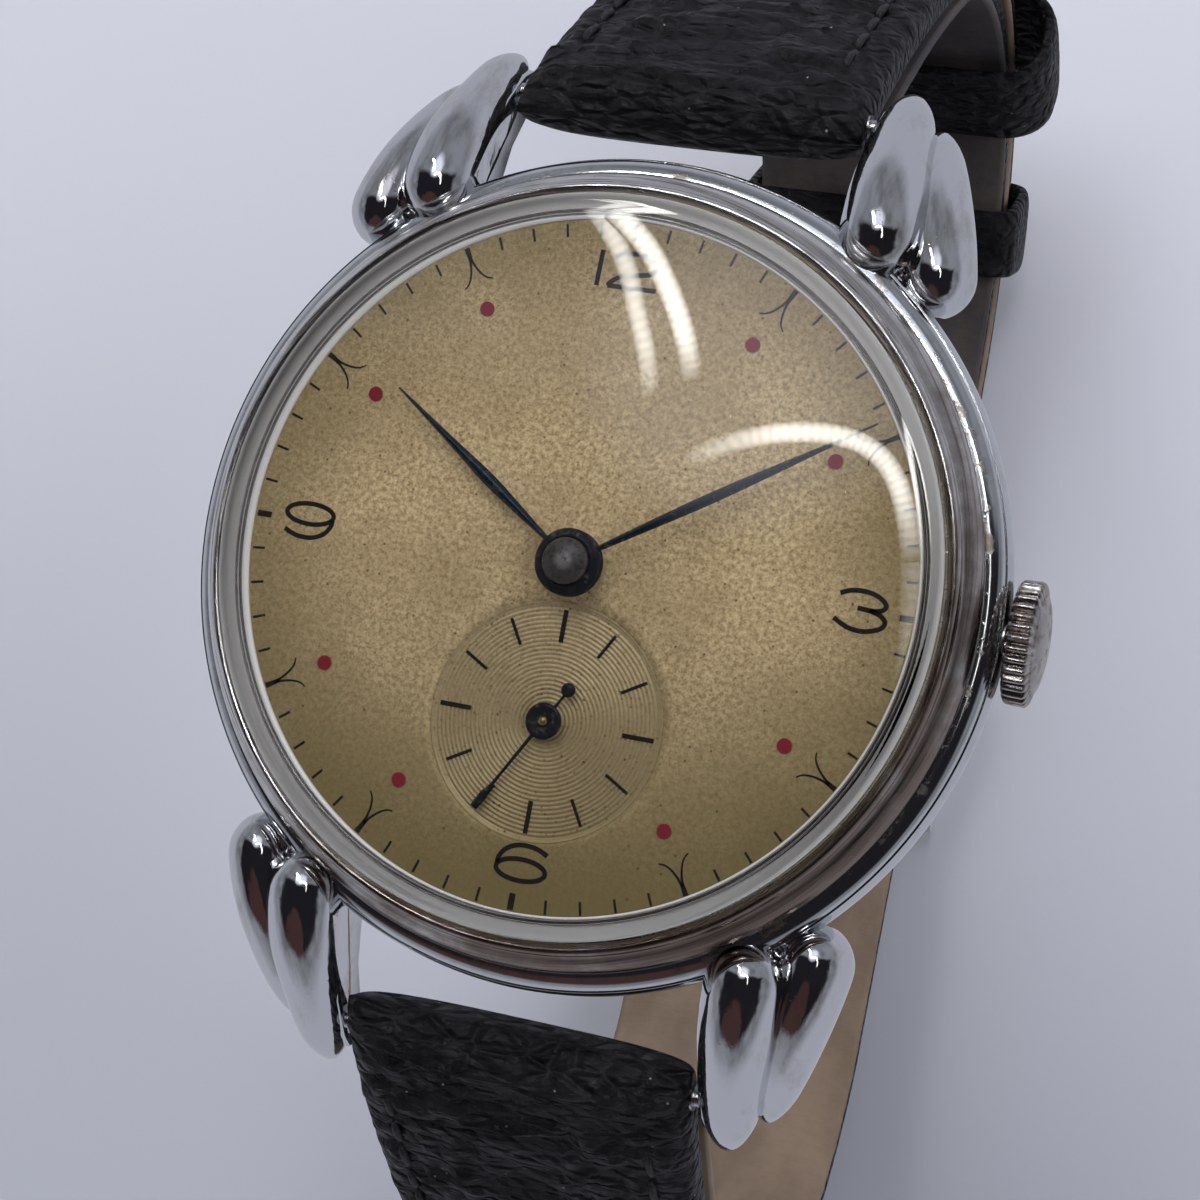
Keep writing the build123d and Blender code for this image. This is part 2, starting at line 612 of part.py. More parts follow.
def sliding_pinion():
    body = toothed_sleeve(0.9, 8.2, 9.9, 12, STEM_R + 0.03)
    return body - (rod_x(2, 8.75, 9.15, 0, STEM_Z) - rod_x(0.68, 8, 10, 0, STEM_Z))


def stem():
    """Winding stem with the groove that the setting lever's pin rides in."""
    body = rod_x(STEM_R, 7.4, STEM_END_X, 0, STEM_Z)
    return body - (rod_x(2, *STEM_GROOVE, 0, STEM_Z) - rod_x(0.28, 11, 13, 0, STEM_Z))


def crown():
    """Fluted, domed button, hollow on its inner side to clear the case tube."""
    rim = CROWN_OUT_X - 0.38
    body = turned((0, CROWN_IN_X), (CROWN_R - 0.25, CROWN_IN_X), (CROWN_R, CROWN_IN_X + 0.3),
                  (CROWN_R, rim - 0.4), (CROWN_R - 0.1, rim - 0.12, CROWN_R - 0.35, rim),
                  cap_middle(CROWN_R - 0.35, rim, CROWN_OUT_X) + (0, CROWN_OUT_X))
    body = Pos(0, 0, STEM_Z) * Rot(0, 90, 0) * body
    body -= rod_x(1.3, CROWN_IN_X - 1, CROWN_RECESS_X, 0, STEM_Z)
    cutter = rod_x(FLUTE_R, CROWN_IN_X - 1, CROWN_OUT_X + 1, CROWN_R + 0.03, 0)
    for k in range(CROWN_FLUTES):
        body -= Pos(0, 0, STEM_Z) * Rot(360 * k / CROWN_FLUTES, 0, 0) * cutter
    return body - rod_x(STEM_R, CROWN_IN_X, STEM_END_X, 0, STEM_Z)


def crown_tube():
    return rod_x(0.95, 15.5, 17.9, 0, STEM_Z) - rod_x(STEM_R + SLIP, 15, 19, 0, STEM_Z) - disc(CAVITY_R, 0, 9)


def crown_wheel():
    """Winding wheel outside the bridge, its hub through it, and a contrate wheel over the winding pinion."""
    direction = towards(CROWN_WHEEL, BARREL)
    body = gear(CROWN_WHEEL_TEETH, RATCHET_M, 0.92, 1.14, CROWN_WHEEL, direction)
    body += disc(CROWN_HUB_R, 1.14, 2.05, *CROWN_WHEEL) + disc(2.2, 2.05, 2.3, *CROWN_WHEEL)
    return body + ring(2.2, 1.75, 2.3, 2.9, *CROWN_WHEEL)


def ratchet_wheel():
    direction = towards(CROWN_WHEEL, BARREL)
    phase = meshed(direction, CROWN_WHEEL_TEETH, direction, RATCHET_TEETH)
    return gear(RATCHET_TEETH, RATCHET_M, 0.92, 1.14, BARREL, phase, bore=0.5)


def ratchet_tip_r():
    return RATCHET_TEETH * RATCHET_M / 2 + 0.8 * RATCHET_M


CLICK_PIVOT = beyond(BARREL, radians(152), ratchet_tip_r() + 1.15)


def click():
    """Pawl whose beak stands just clear of the ratchet wheel's tips."""
    beak = beyond(BARREL, radians(141), ratchet_tip_r() + 0.3)
    return finger(*CLICK_PIVOT, 0.6, *beak, 0.2, 0.92, 1.14) - disc(0.25, 0, 2, *CLICK_PIVOT)


def click_spring():
    start = beyond(BARREL, radians(160), ratchet_tip_r() + 2.4)
    end = beyond(BARREL, radians(146), ratchet_tip_r() + 1.62)
    return finger(*start, 0.28, *end, 0.09, 0.94, 1.1)


def setting_lever():
    """Rocks as the stem is pulled; its pin rides in the stem's groove."""
    body = finger(*LEVER_PIVOT, 0.7, *LEVER_PIN, 0.3, 4.62, 4.8)
    body += disc(0.16, STEM_Z + 0.32, 4.7, *LEVER_PIN)
    return body + disc(0.25, 4.62, 5.15, *LEVER_PIVOT)


def yoke():
    """Lever that shifts the sliding pinion."""
    return finger(*YOKE_PIVOT, 0.5, *YOKE_TIP, 0.14, 3.92, 4.08) + disc(0.2, 3.92, PLATE_Z[0], *YOKE_PIVOT)


# ---------------------------------------------------------------- plates and bridges
ARBORS = [THIRD, FOURTH, ESCAPE, PALLET, BALANCE]
BRIDGE_ARBORS = [THIRD, FOURTH, ESCAPE, BALANCE]
JEWEL_R = 0.5


def main_plate():
    body = disc(PLATE_R, *PLATE_Z)
    body -= block(6.9, 14, -1.25, 1.25, 4.0, 5.15)
    body -= finger(*LEVER_PIVOT, 0.95, LEVER_PIN[0] + CROWN_PULL / 2, 0.3, 0.9, 4.0, 5.15)
    body -= disc(CENTRE_ARBOR_R + SLIP, 0, 9)
    body -= disc(0.35 + SLIP, 0, 9, *BARREL)
    for at in ARBORS:
        body -= disc(JEWEL_R, 0, 9, *at)
    for at in DIAL_FEET:
        body -= disc(0.37, 4.5, 6, *at)
    for at in (MINUTE_WHEEL, SETTING_WHEEL):
        body += disc(0.26, PLATE_Z[1] - 0.1, 5.9, *at)
    return body


def plate_jewels():
    return [ring(JEWEL_R, PIVOT_R + 0.03, PLATE_Z[1] - 0.4, PLATE_Z[1], *at) for at in ARBORS]


def bridge_jewels():
    return [ring(JEWEL_R, PIVOT_R + 0.03, BRIDGE_Z[0], BRIDGE_Z[0] + 0.4, *at) for at in BRIDGE_ARBORS]


def pillar(at, radius=0.85):
    """Foot that stands a bridge off the main plate."""
    return disc(radius, BRIDGE_Z[1], PLATE_Z[0], *at)


def bridge_blank(y_low, y_high):
    body = disc(13.2, *BRIDGE_Z) & block(-14, 14, y_low, y_high, 0, 3)
    return body - disc(BALANCE_R + 0.4, 0, 3, *BALANCE)


def screw_holes(body, screws, radius=0.35):
    for at in screws:
        body -= disc(radius, 0, 4.2, *at)
    return body


def barrel_bridge():
    body = bridge_blank(-1.8, 14)
    for at in BRIDGE_SCREWS[:2]:
        body += pillar(at)
    body -= disc(CENTRE_ARBOR_R + SLIP, 0, 3)
    body -= disc(0.5 + SLIP, 0, 3, *BARREL)
    body -= disc(CROWN_HUB_R + SLIP, 0, 3, *CROWN_WHEEL)
    body += disc(0.25, 0.9, BRIDGE_Z[0], *CLICK_PIVOT)
    return screw_holes(body, BRIDGE_SCREWS[:2])


def train_bridge():
    body = bridge_blank(-14, -2.0) - block(-14, -5.6, -14, 0, 0, 3)
    for at in BRIDGE_SCREWS[2:]:
        body += pillar(at)
    for at in ARBORS[:3]:
        body -= disc(JEWEL_R, 0, 3, *at)
    return screw_holes(body, BRIDGE_SCREWS[2:])


def balance_cock():
    body = finger(*COCK_FOOT, 1.5, *BALANCE, 1.2, *BRIDGE_Z) + disc(0.95, BRIDGE_Z[1], PLATE_Z[0], *COCK_FOOT)
    body -= disc(JEWEL_R, 0, 3, *BALANCE)
    return screw_holes(body, [COCK_FOOT])


def pallet_bridge():
    body = finger(*PALLET_FOOT, 0.9, *PALLET, 0.6, 2.85, 3.15) + disc(0.8, 3.15, PLATE_Z[0], *PALLET_FOOT)
    body -= disc(PIVOT_R + 0.03, 2, 4, *PALLET)
    return body - disc(0.3, 2, 4.2, *PALLET_FOOT)


def screw(at, low, head_r, shank_r, length):
    """Cheese-head screw whose head faces the case back."""
    head = disc(head_r, low - 0.3, low, *at)
    slot = block(at[0] - 1.5, at[0] + 1.5, at[1] - 0.08, at[1] + 0.08, low - 0.4, low - 0.18)
    return head - slot + disc(shank_r, low, low + length, *at)


def movement_screws():
    """Bridge screws, the pallet bridge's screw and the two that hold the casing ring."""
    screws = [screw(at, BRIDGE_Z[0], 0.62, 0.33, 2.9) for at in BRIDGE_SCREWS + [COCK_FOOT]]
    screws.append(screw(PALLET_FOOT, 2.85, 0.5, 0.28, 1.25))
    return screws + [disc(0.95, 2.45, 2.75, *at) + disc(0.35, 2.75, 2.95, *at) for at in CASE_SCREWS]


# ---------------------------------------------------------------- strap
BOTTOM_Z = FLOOR_Z + 4.25           # middle of the short strap along the bottom
KEEPER_THICK = 0.85
TAIL_OFFSET = STRAP_THIN / 2 + 0.15 + TAIL_THICK / 2
BUCKLE = (0.0, BOTTOM_Z)
FAR_BAR = (-8.2, FLOOR_Z + 1.45)
# lengths and final headings of the tangent arcs from a lug to the bottom; 0 is outward, 90 is down
ARCS = [(20.0, 61.5), (14.0, 100.0), (22.0, 180.0)]
FIRST_HEADING = 46.0
STEPS = 6


def walk(arcs):
    """Stations (y, z, heading, distance) along the tangent arcs from the 12 o'clock bar."""
    y, z, heading, gone = BAR_Y, BAR_Z, radians(FIRST_HEADING), 0.0
    stations = [(y, z, heading, gone)]
    for length, final in arcs:
        turn = (radians(final) - heading) / STEPS
        piece = length / STEPS
        for _ in range(STEPS):
            middle = heading + turn / 2
            chord = piece * (sin(turn / 2) / (turn / 2) if turn else 1.0)
            y += chord * cos(middle)
            z -= chord * sin(middle)
            heading += turn
            gone += piece
            stations.append((y, z, heading, gone))
    return stations


def fitted_arcs():
    """The arcs scaled so that they end exactly at the height of the bottom."""
    drop = BAR_Z - walk(ARCS)[-1][1]
    scale = (BAR_Z - BOTTOM_Z) / drop
    return [(length * scale, final) for length, final in ARCS]


FITTED = fitted_arcs()
ROUND = walk(FITTED)
CORNER_Y = ROUND[-1][0]
SHORT_LEN = ROUND[-1][3] + CORNER_Y
CORNER_R = FITTED[2][0] / radians(80.0)
CORNER_CENTRE = (CORNER_Y, BOTTOM_Z + CORNER_R)


def shifted(station, offset):
    """Point beside a station, outward for a positive offset."""
    y, z, heading, _ = station
    return y + offset * sin(heading), z + offset * cos(heading)


def prism(points_yz, half_width):
    """Closed outline in the YZ plane, made solid across X."""
    return extrude(make_face(points_yz), half_width, dir=(1, 0, 0), both=True)


def curve(points):
    return Spline(*[(0, y, z) for y, z in points])


def straight(a, b):
    return Line((0, *a), (0, *b))


def ribbon(outer, inner, half_width):
    """Solid between two curves that run the same way."""
    edges = [curve(outer), straight(outer[-1], inner[-1]), curve(inner), straight(inner[0], outer[0])]
    return prism(edges, half_width)


def taper():
    """Envelope that narrows the strap from the lugs down to the buckle."""
    top, low = STRAP_W / 2, STRAP_W_REAR / 2
    points = [(-top, 6), (top, 6), (top, BAR_Z), (low, FLOOR_Z + 4), (low, FLOOR_Z - 4), (-low, FLOOR_Z - 4),
              (-low, FLOOR_Z + 4), (-top, BAR_Z)]
    face = make_face(Polyline(*[(x, -60, z) for x, z in points], close=True).edges())
    return extrude(face, 120, dir=(0, 1, 0))


def half_thickness(gone):
    """Half the strap's thickness at this distance from the bar."""
    share = min(max((gone - 3.0) / 22.0, 0.0), 1.0)
    return (STRAP_THICK + (STRAP_THIN - STRAP_THICK) * share) / 2


def strap_short():
    """Buckle half: padded beside the lugs, folded around both of its bars."""
    flat = [(CORNER_Y * k / 4, BOTTOM_Z, pi, 0.0) for k in (3, 2, 1, 0)]
    stations = ROUND + [(y, z, h, SHORT_LEN) for y, z, h, _ in flat]
    outer = [shifted(s, half_thickness(s[3])) for s in stations]
    inner = [shifted(s, -half_thickness(s[3])) for s in stations]
    body = ribbon(outer, inner, STRAP_W / 2)
    body += rod_x(STRAP_THICK / 2, -STRAP_W / 2, STRAP_W / 2, BAR_Y, BAR_Z)
    body += rod_x(1.7, -STRAP_W / 2, STRAP_W / 2, *BUCKLE)
    body &= taper()
    body -= rod_x(BAR_R + SLIP, -9, 9, BAR_Y, BAR_Z)
    body -= rod_x(BAR_R + SLIP, -9, 9, *BUCKLE)
    return body - block(-0.95, 0.95, -3, 3.2, BUCKLE[1] - 2, BUCKLE[1] + 2)


def tail_points(offset_out):
    """One face of the long strap from its bar, round the bottom, out through the buckle to the tip."""
    points = []
    for station in ROUND[:-1]:
        y, z = shifted(station, offset_out * half_thickness(station[3]))
        points.append((-y, z))
    half = TAIL_THICK / 2
    low = -offset_out * half
    for y, rise in ((-16.0, 4.2), (-8.2, 3.35), (-3.4, 2.15), (1.5, 1.42), (5.5, 1.85), (9.0, 2.0),
                    (13.0, 2.0)):
        points.append((y, FLOOR_Z + rise + low))
    for station in ROUND[:7:-1]:
        points.append(shifted(station, TAIL_OFFSET + offset_out * half))
    return points


def strap_long():
    """Hole half: its tail passes through the buckle and lies on the short half under both keepers."""
    body = ribbon(tail_points(1), tail_points(-1), STRAP_W / 2)
    body += rod_x(STRAP_THICK / 2, -STRAP_W / 2, STRAP_W / 2, -BAR_Y, BAR_Z)
    body &= taper()
    body -= rod_x(BAR_R + SLIP, -9, 9, -BAR_Y, BAR_Z)
    body -= block(-0.95, 0.95, -5.6, -0.9, FLOOR_Z - 1, FLOOR_Z + 5)
    for y in (-12.5, -19.0, 5.5, 12.0):
        body -= disc(0.8, FLOOR_Z - 1, FLOOR_Z + 7, 0, y)
    return max(body.solids(), key=lambda s: s.volume)


def keeper(first, last, clearance, slack):
    """Leather loop around both thicknesses of strap, between two places on the way round."""
    stations = [s for s in KEEPER_WAY if first <= s[3] <= last]
    margin = [s for s in KEEPER_WAY if first - 3 <= s[3] <= last + 3]
    low = -STRAP_THIN / 2 - clearance
    high = TAIL_OFFSET + TAIL_THICK / 2 + clearance
    half = STRAP_W_REAR / 2 + slack
    outer = ribbon([shifted(s, high + KEEPER_THICK) for s in stations],
                   [shifted(s, low - KEEPER_THICK) for s in stations], half + KEEPER_THICK)
    return outer - ribbon([shifted(s, high) for s in margin], [shifted(s, low) for s in margin], half)


def keeper_way():
    """Closely spaced stations round the corner and along the bottom, for the keepers."""
    stations = []
    start = ROUND[-1][3] - FITTED[2][0]
    count = 44
    for k in range(count + 1):
        heading = radians(100.0 + 80.0 * k / count)
        stations.append((CORNER_CENTRE[0] + CORNER_R * sin(heading),
                         CORNER_CENTRE[1] + CORNER_R * cos(heading),
                         heading, start + FITTED[2][0] * k / count))
    for k in range(1, 31):
        stations.append((CORNER_Y - 0.5 * k, BOTTOM_Z, pi, ROUND[-1][3] + 0.5 * k))
    return stations


KEEPER_WAY = keeper_way()
# places on the way round, radial clearance, and room beside the strap
FREE_KEEPER = (38.2, 44.0, 0.12, 1.85)
FIXED_KEEPER = (49.8, 54.2, 0.04, 0.35)


def buckle_frame():
    """Two cheeks and a far bar; the near bar is the sprung one."""
    body = rod_x(0.7, -8.4, 8.4, *FAR_BAR)
    for side in (-1, 1):
        points = [(1.0, BUCKLE[1] + 1.0), (1.1, BUCKLE[1] - 0.9), (FAR_BAR[0] - 0.3, FAR_BAR[1] - 0.65),
                  (FAR_BAR[0] - 0.75, FAR_BAR[1] + 0.2), (FAR_BAR[0] + 0.1, FAR_BAR[1] + 1.0)]
        cheek = prism(Polyline(*[(0, y, z) for y, z in points], close=True).edges(), 0.6)
        body += Pos(side * 8.2, 0, 0) * cheek
    return body - rod_x(0.4 + SLIP, -8.4, 8.4, *BUCKLE)


def buckle_bar():
    return rod_x(0.7, -7.5, 7.5, *BUCKLE) + rod_x(0.4, -8.4, 8.4, *BUCKLE)


def buckle_tongue():
    points = [(1.0, 4.25), (0.2, 3.15), (-4.4, 0.6), (-8.9, 0.1), (-8.9, 0.62), (-6.2, 0.95), (-4.7, 1.35),
              (-1.0, 4.35), (-0.4, 5.15), (0.6, 5.1)]
    body = prism(Polyline(*[(0, y, FLOOR_Z + z) for y, z in points], close=True).edges(), 0.65)
    return body - rod_x(0.7 + SLIP, -2, 2, *BUCKLE)


# ---------------------------------------------------------------- write the parts
NODES = {
    "mid_case": mid_case,
    "case_back": case_back,
    "bezel": bezel,
    "crystal": crystal,
    "casing_ring": casing_ring,
    "lug_12_left": lambda: lug(-1, 1),
    "lug_12_right": lambda: lug(1, 1),
    "lug_6_left": lambda: lug(-1, -1),
    "lug_6_right": lambda: lug(1, -1),
    "spring_bar_12": lambda: spring_bar(1),
    "spring_bar_6": lambda: spring_bar(-1),
    "dial": dial,
    "dial_print": dial_print,
    "hour_hand": hour_hand,
    "minute_hand": minute_hand,
    "seconds_hand": seconds_hand,
    "main_plate": main_plate,
    "plate_jewels": plate_jewels,
    "bridge_jewels": bridge_jewels,
    "barrel_bridge": barrel_bridge,
    "train_bridge": train_bridge,
    "balance_cock": balance_cock,
    "pallet_bridge": pallet_bridge,
    "movement_screws": movement_screws,
    "barrel": barrel,
    "barrel_cover": barrel_cover,
    "barrel_arbor": barrel_arbor,
    "mainspring": mainspring,
    "ratchet_wheel": ratchet_wheel,
    "ratchet_screw": ratchet_screw,
    "click": click,
    "click_spring": click_spring,
    "crown_wheel": crown_wheel,
    "centre_wheel": centre_wheel,
    "cannon_pinion": cannon_pinion,
    "third_wheel": third_wheel,
    "fourth_wheel": fourth_wheel,
    "escape_wheel": escape_wheel,
    "pallet_fork": pallet_fork,
    "pallet_stones": pallet_stones,
    "balance_wheel": balance_wheel,
    "hairspring": hairspring,
    "regulator": regulator,
    "minute_wheel": minute_wheel,
    "hour_wheel": hour_wheel,
    "setting_wheel": setting_wheel,
    "winding_pinion": winding_pinion,
    "sliding_pinion": sliding_pinion,
    "stem": stem,
    "crown": crown,
    "crown_tube": crown_tube,
    "setting_lever": setting_lever,
    "yoke": yoke,
    "strap_short": strap_short,
    "strap_long": strap_long,
    "fixed_keeper": lambda: keeper(*FIXED_KEEPER),
    "free_keeper": lambda: keeper(*FREE_KEEPER),
    "buckle_frame": buckle_frame,
    "buckle_bar": buckle_bar,
    "buckle_tongue": buckle_tongue,
}

os.makedirs("parts", exist_ok=True)
for name, make in NODES.items():
    made = make()
    save(name, *(made if isinstance(made, list) else [made]))
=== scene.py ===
"""Looks of a manual-wind wristwatch on a closed leather strap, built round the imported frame."""
import json
from math import copysign, cos, dist, exp, hypot, pi, prod, radians, sin, sqrt

import bpy
import bmesh
from mathutils import Matrix, Vector, noise


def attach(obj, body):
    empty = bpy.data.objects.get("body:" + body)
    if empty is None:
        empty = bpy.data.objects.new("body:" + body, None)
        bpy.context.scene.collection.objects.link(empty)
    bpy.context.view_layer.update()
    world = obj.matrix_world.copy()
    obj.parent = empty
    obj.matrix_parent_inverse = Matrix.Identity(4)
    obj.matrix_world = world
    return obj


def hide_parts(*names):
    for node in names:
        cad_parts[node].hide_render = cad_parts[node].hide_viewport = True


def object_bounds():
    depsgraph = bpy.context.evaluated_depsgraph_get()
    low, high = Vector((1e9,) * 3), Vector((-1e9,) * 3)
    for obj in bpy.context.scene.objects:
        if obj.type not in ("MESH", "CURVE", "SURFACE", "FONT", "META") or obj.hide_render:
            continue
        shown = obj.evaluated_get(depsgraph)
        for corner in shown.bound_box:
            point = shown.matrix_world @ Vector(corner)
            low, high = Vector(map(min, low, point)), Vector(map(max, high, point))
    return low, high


MM = 0.001
PER_METRE = 1000
SAME_POINT = 1e-7  # metres
POLE_RADIUS = 0.002  # smallest ring of an outline that meets its axis
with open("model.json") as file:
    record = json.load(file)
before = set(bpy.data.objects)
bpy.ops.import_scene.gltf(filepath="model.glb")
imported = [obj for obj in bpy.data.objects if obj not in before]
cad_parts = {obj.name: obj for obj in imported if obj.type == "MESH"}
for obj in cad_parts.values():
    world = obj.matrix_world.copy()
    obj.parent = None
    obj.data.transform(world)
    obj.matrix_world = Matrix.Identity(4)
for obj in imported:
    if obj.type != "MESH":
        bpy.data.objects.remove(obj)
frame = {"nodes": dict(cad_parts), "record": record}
cad_low, cad_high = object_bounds()
nodes = frame["nodes"]


# ---- mesh helpers (millimetres in, metres out)
def linked(name, data):
    """New object in the scene with this mesh, light or camera."""
    obj = bpy.data.objects.new(name, data)
    bpy.context.scene.collection.objects.link(obj)
    return obj


def piece(name, verts, faces, material, body="case", replaces=(), slot=None, smooth=True):
    mesh = bpy.data.meshes.new(name)
    mesh.from_pydata([(x * MM, y * MM, z * MM) for x, y, z in verts], [], faces)
    mesh.validate()
    fix = bmesh.new()
    fix.from_mesh(mesh)
    bmesh.ops.remove_doubles(fix, verts=fix.verts, dist=SAME_POINT)
    bmesh.ops.recalc_face_normals(fix, faces=fix.faces)
    fix.to_mesh(mesh)
    fix.free()
    obj = linked(name, mesh)
    mesh.materials.append(material)
    if smooth:
        mesh.shade_smooth()
    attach(obj, body)
    if replaces:
        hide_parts(*replaces)
    return obj


def modified(obj, kind, **settings):
    """Replaces the object's mesh by the one that a modifier makes of it."""
    modifier = obj.modifiers.new(kind.lower(), kind)
    for key, value in settings.items():
        setattr(modifier, key, value)
    graph = bpy.context.evaluated_depsgraph_get()
    graph.update()
    mesh = bpy.data.meshes.new_from_object(obj.evaluated_get(graph))
    obj.modifiers.clear()
    obj.data = mesh


def grid_faces(rows, cols, wrap_cols=True, wrap_rows=False):
    """Quads of a grid of points stored row by row."""
    faces = []
    for i in range(rows if wrap_rows else rows - 1):
        for j in range(cols if wrap_cols else cols - 1):
            i2, j2 = (i + 1) % rows, (j + 1) % cols
            faces.append((i * cols + j, i * cols + j2, i2 * cols + j2, i2 * cols + j))
    return faces


def capped_faces(rows, cols):
    """Quads round a tube of points stored ring by ring, with one face across each end."""
    base = cols * (rows - 1)
    return grid_faces(rows, cols) + [tuple(range(cols))[::-1], tuple(range(base, base + cols))]


def turns(steps):
    """Evenly spaced angles of a full turn."""
    return [2 * pi * k / steps for k in range(steps)]


def ring(radius, z, steps, x=0.0, y=0.0):
    """Points of a level circle."""
    return [(x + radius * cos(a), y + radius * sin(a), z) for a in turns(steps)]


def clamped(value):
    """The value kept between 0 and 1."""
    return min(max(value, 0.0), 1.0)


def merged(*meshes):
    """One (points, faces) pair from several."""
    verts, faces = [], []
    for more_verts, more_faces in meshes:
        start = len(verts)
        verts += more_verts
        faces += [tuple(i + start for i in face) for face in more_faces]
    return verts, faces


def smooth_line(points, per_span=6):
    """Points of any size on a Catmull-Rom curve through the given ones."""
    out = []
    last = len(points) - 1
    for k in range(last):
        a, b, c, d = points[max(k - 1, 0)], points[k], points[k + 1], points[min(k + 2, last)]
        for t in (s / per_span for s in range(per_span)):
            out.append(tuple(
                0.5 * (2 * q + (r - p) * t + (2 * p - 5 * q + 4 * r - u) * t * t + (3 * q - p - 3 * r + u) * t ** 3)
                for p, q, r, u in zip(a, b, c, d)))
    out.append(tuple(points[-1]))
    return out


def lathe(name, profile, material, steps=256, **kw):
    """Turns a closed (r, z) outline about the Z axis."""
    verts = [p for r, z in profile for p in ring(r, z, steps)]
    return piece(name, verts, grid_faces(len(profile), steps, wrap_rows=True), material, **kw)


def turned_mesh(profile, x=0.0, y=0.0, steps=72):
    """Closed solid of revolution about a line parallel to Z, for an (r, z) outline that starts and ends at r = 0."""
    verts = [p for r, z in profile for p in ring(max(r, POLE_RADIUS), z, steps, x, y)]
    return verts, capped_faces(len(profile), steps)


def arc(cx, cy, radius_x, radius_y, start, end, count=16):
    """Points on part of an ellipse, angles in degrees."""
    angles = [radians(start + (end - start) * k / count) for k in range(count + 1)]
    return [(cx + radius_x * cos(a), cy + radius_y * sin(a)) for a in angles]


# ---- material helpers
class Nodes:
    """A node tree, with short calls for the nodes that are used here."""

    def __init__(self, tree):
        self.tree = tree

    def feed(self, socket, value):
        """Links an output to the socket, or sets the socket's own value."""
        if hasattr(value, "is_linked"):
            self.tree.links.new(value, socket)
        else:
            socket.default_value = value

    def node(self, kind, inputs=(), **settings):
        """New node with its settings made and its inputs fed."""
        made = self.tree.nodes.new("ShaderNode" + kind)
        for key, value in settings.items():
            setattr(made, key, value)
        for key, value in dict(inputs).items():
            self.feed(made.inputs[key], value)
        return made

    def ramp(self, value, low, high, out_low=0.0, out_high=1.0):
        """Smooth step from out_low to out_high."""
        return self.node("MapRange", {
            "Value": value, "From Min": low, "From Max": high, "To Min": out_low, "To Max": out_high},
            interpolation_type="SMOOTHSTEP").outputs[0]

    def maths(self, operation, *values):
        return self.node("Math", dict(enumerate(values)), operation=operation).outputs[0]

    def times(self, a, b):
        return self.maths("MULTIPLY", a, b)

    def vector_maths(self, operation, a, b=(0, 0, 0), output=0):
        return self.node("VectorMath", {0: a, 1: b}, operation=operation).outputs[output]

    def mixed(self, share, a, b):
        """Color between a and b."""
        a, b = ((*color, 1.0) if isinstance(color, tuple) else color for color in (a, b))
        return self.node("Mix", {0: share, 6: a, 7: b}, data_type="RGBA").outputs[2]


class Shader(Nodes):
    """A Principled material."""

    def __init__(self, name, color, metallic=0.0, roughness=0.5, **sockets):
        self.material = bpy.data.materials.new(name)
        self.material.use_nodes = True
        super().__init__(self.material.node_tree)
        self.bsdf = self.tree.nodes["Principled BSDF"]
        self.set("Base Color", (*color, 1.0))
        self.set("Metallic", metallic)
        self.set("Roughness", roughness)
        for key, value in sockets.items():
            self.set(key.replace("_", " "), value)
        self.where = self.node("TexCoord").outputs["Object"]
        self.height = None

    def set(self, socket, value):
        self.feed(self.bsdf.inputs[socket], value)

    def paint(self, share, a, b):
        """Base colour from a to b."""
        self.set("Base Color", self.mixed(share, a, b))

    def stretched(self, x, y, z):
        """Object coordinates in millimetres, scaled along each axis."""
        return self.vector_maths("MULTIPLY", self.where, (x * PER_METRE, y * PER_METRE, z * PER_METRE))

    def noise(self, scale, detail=4.0, rough=0.55, stretch=(1, 1, 1), distortion=0.0):
        """Noise whose features are about 1 / scale millimetres wide."""
        return self.node("TexNoise", {
            "Vector": self.stretched(*stretch), "Scale": scale, "Detail": detail, "Roughness": rough,
            "Distortion": distortion}).outputs["Fac"]

    def cells(self, scale, feature="F1", stretch=(1, 1, 1), flat=False):
        """Distance to scattered points about 1 / scale millimetres apart; flat ones lie in the XY plane."""
        return self.node("TexVoronoi", {"Vector": self.stretched(*stretch), "Scale": scale}, feature=feature,
                         voronoi_dimensions="2D" if flat else "3D").outputs["Distance"]

    def spots(self, scale, small, large, flat=False):
        """One at scattered points, nought away from them."""
        return self.maths("SUBTRACT", 1.0, self.ramp(self.cells(scale, flat=flat), small, large))

    def bump(self, height, distance_mm, strength=1.0):
        inputs = {"Height": height, "Distance": distance_mm * MM, "Strength": strength}
        if self.height is not None:
            inputs["Normal"] = self.height
        self.height = self.node("Bump", inputs).outputs[0]
        self.set("Normal", self.height)

    def away_from_axis(self):
        """Distance in millimetres from the Z axis."""
        return self.vector_maths("LENGTH", self.stretched(1, 1, 0), output="Value")

    def along(self, x, y):
        """Distance in millimetres along a level direction, times its length."""
        return self.vector_maths("DOT_PRODUCT", self.stretched(1, 1, 0), (x, y, 0.0), "Value")

    def rings(self, scale, detail=3.0, drift=0.05):
        """Noise in turned rings about the Z axis, slowly changing along them."""
        height = self.node("SeparateXYZ", {0: self.stretched(0, 0, 1)}).outputs["Z"]
        flat = self.node("CombineXYZ", {0: self.away_from_axis(), 1: height}).outputs[0]
        moved = self.vector_maths("ADD", flat, self.stretched(drift, drift, drift))
        return self.node("TexNoise", {"Vector": moved, "Scale": scale, "Detail": detail}).outputs["Fac"]


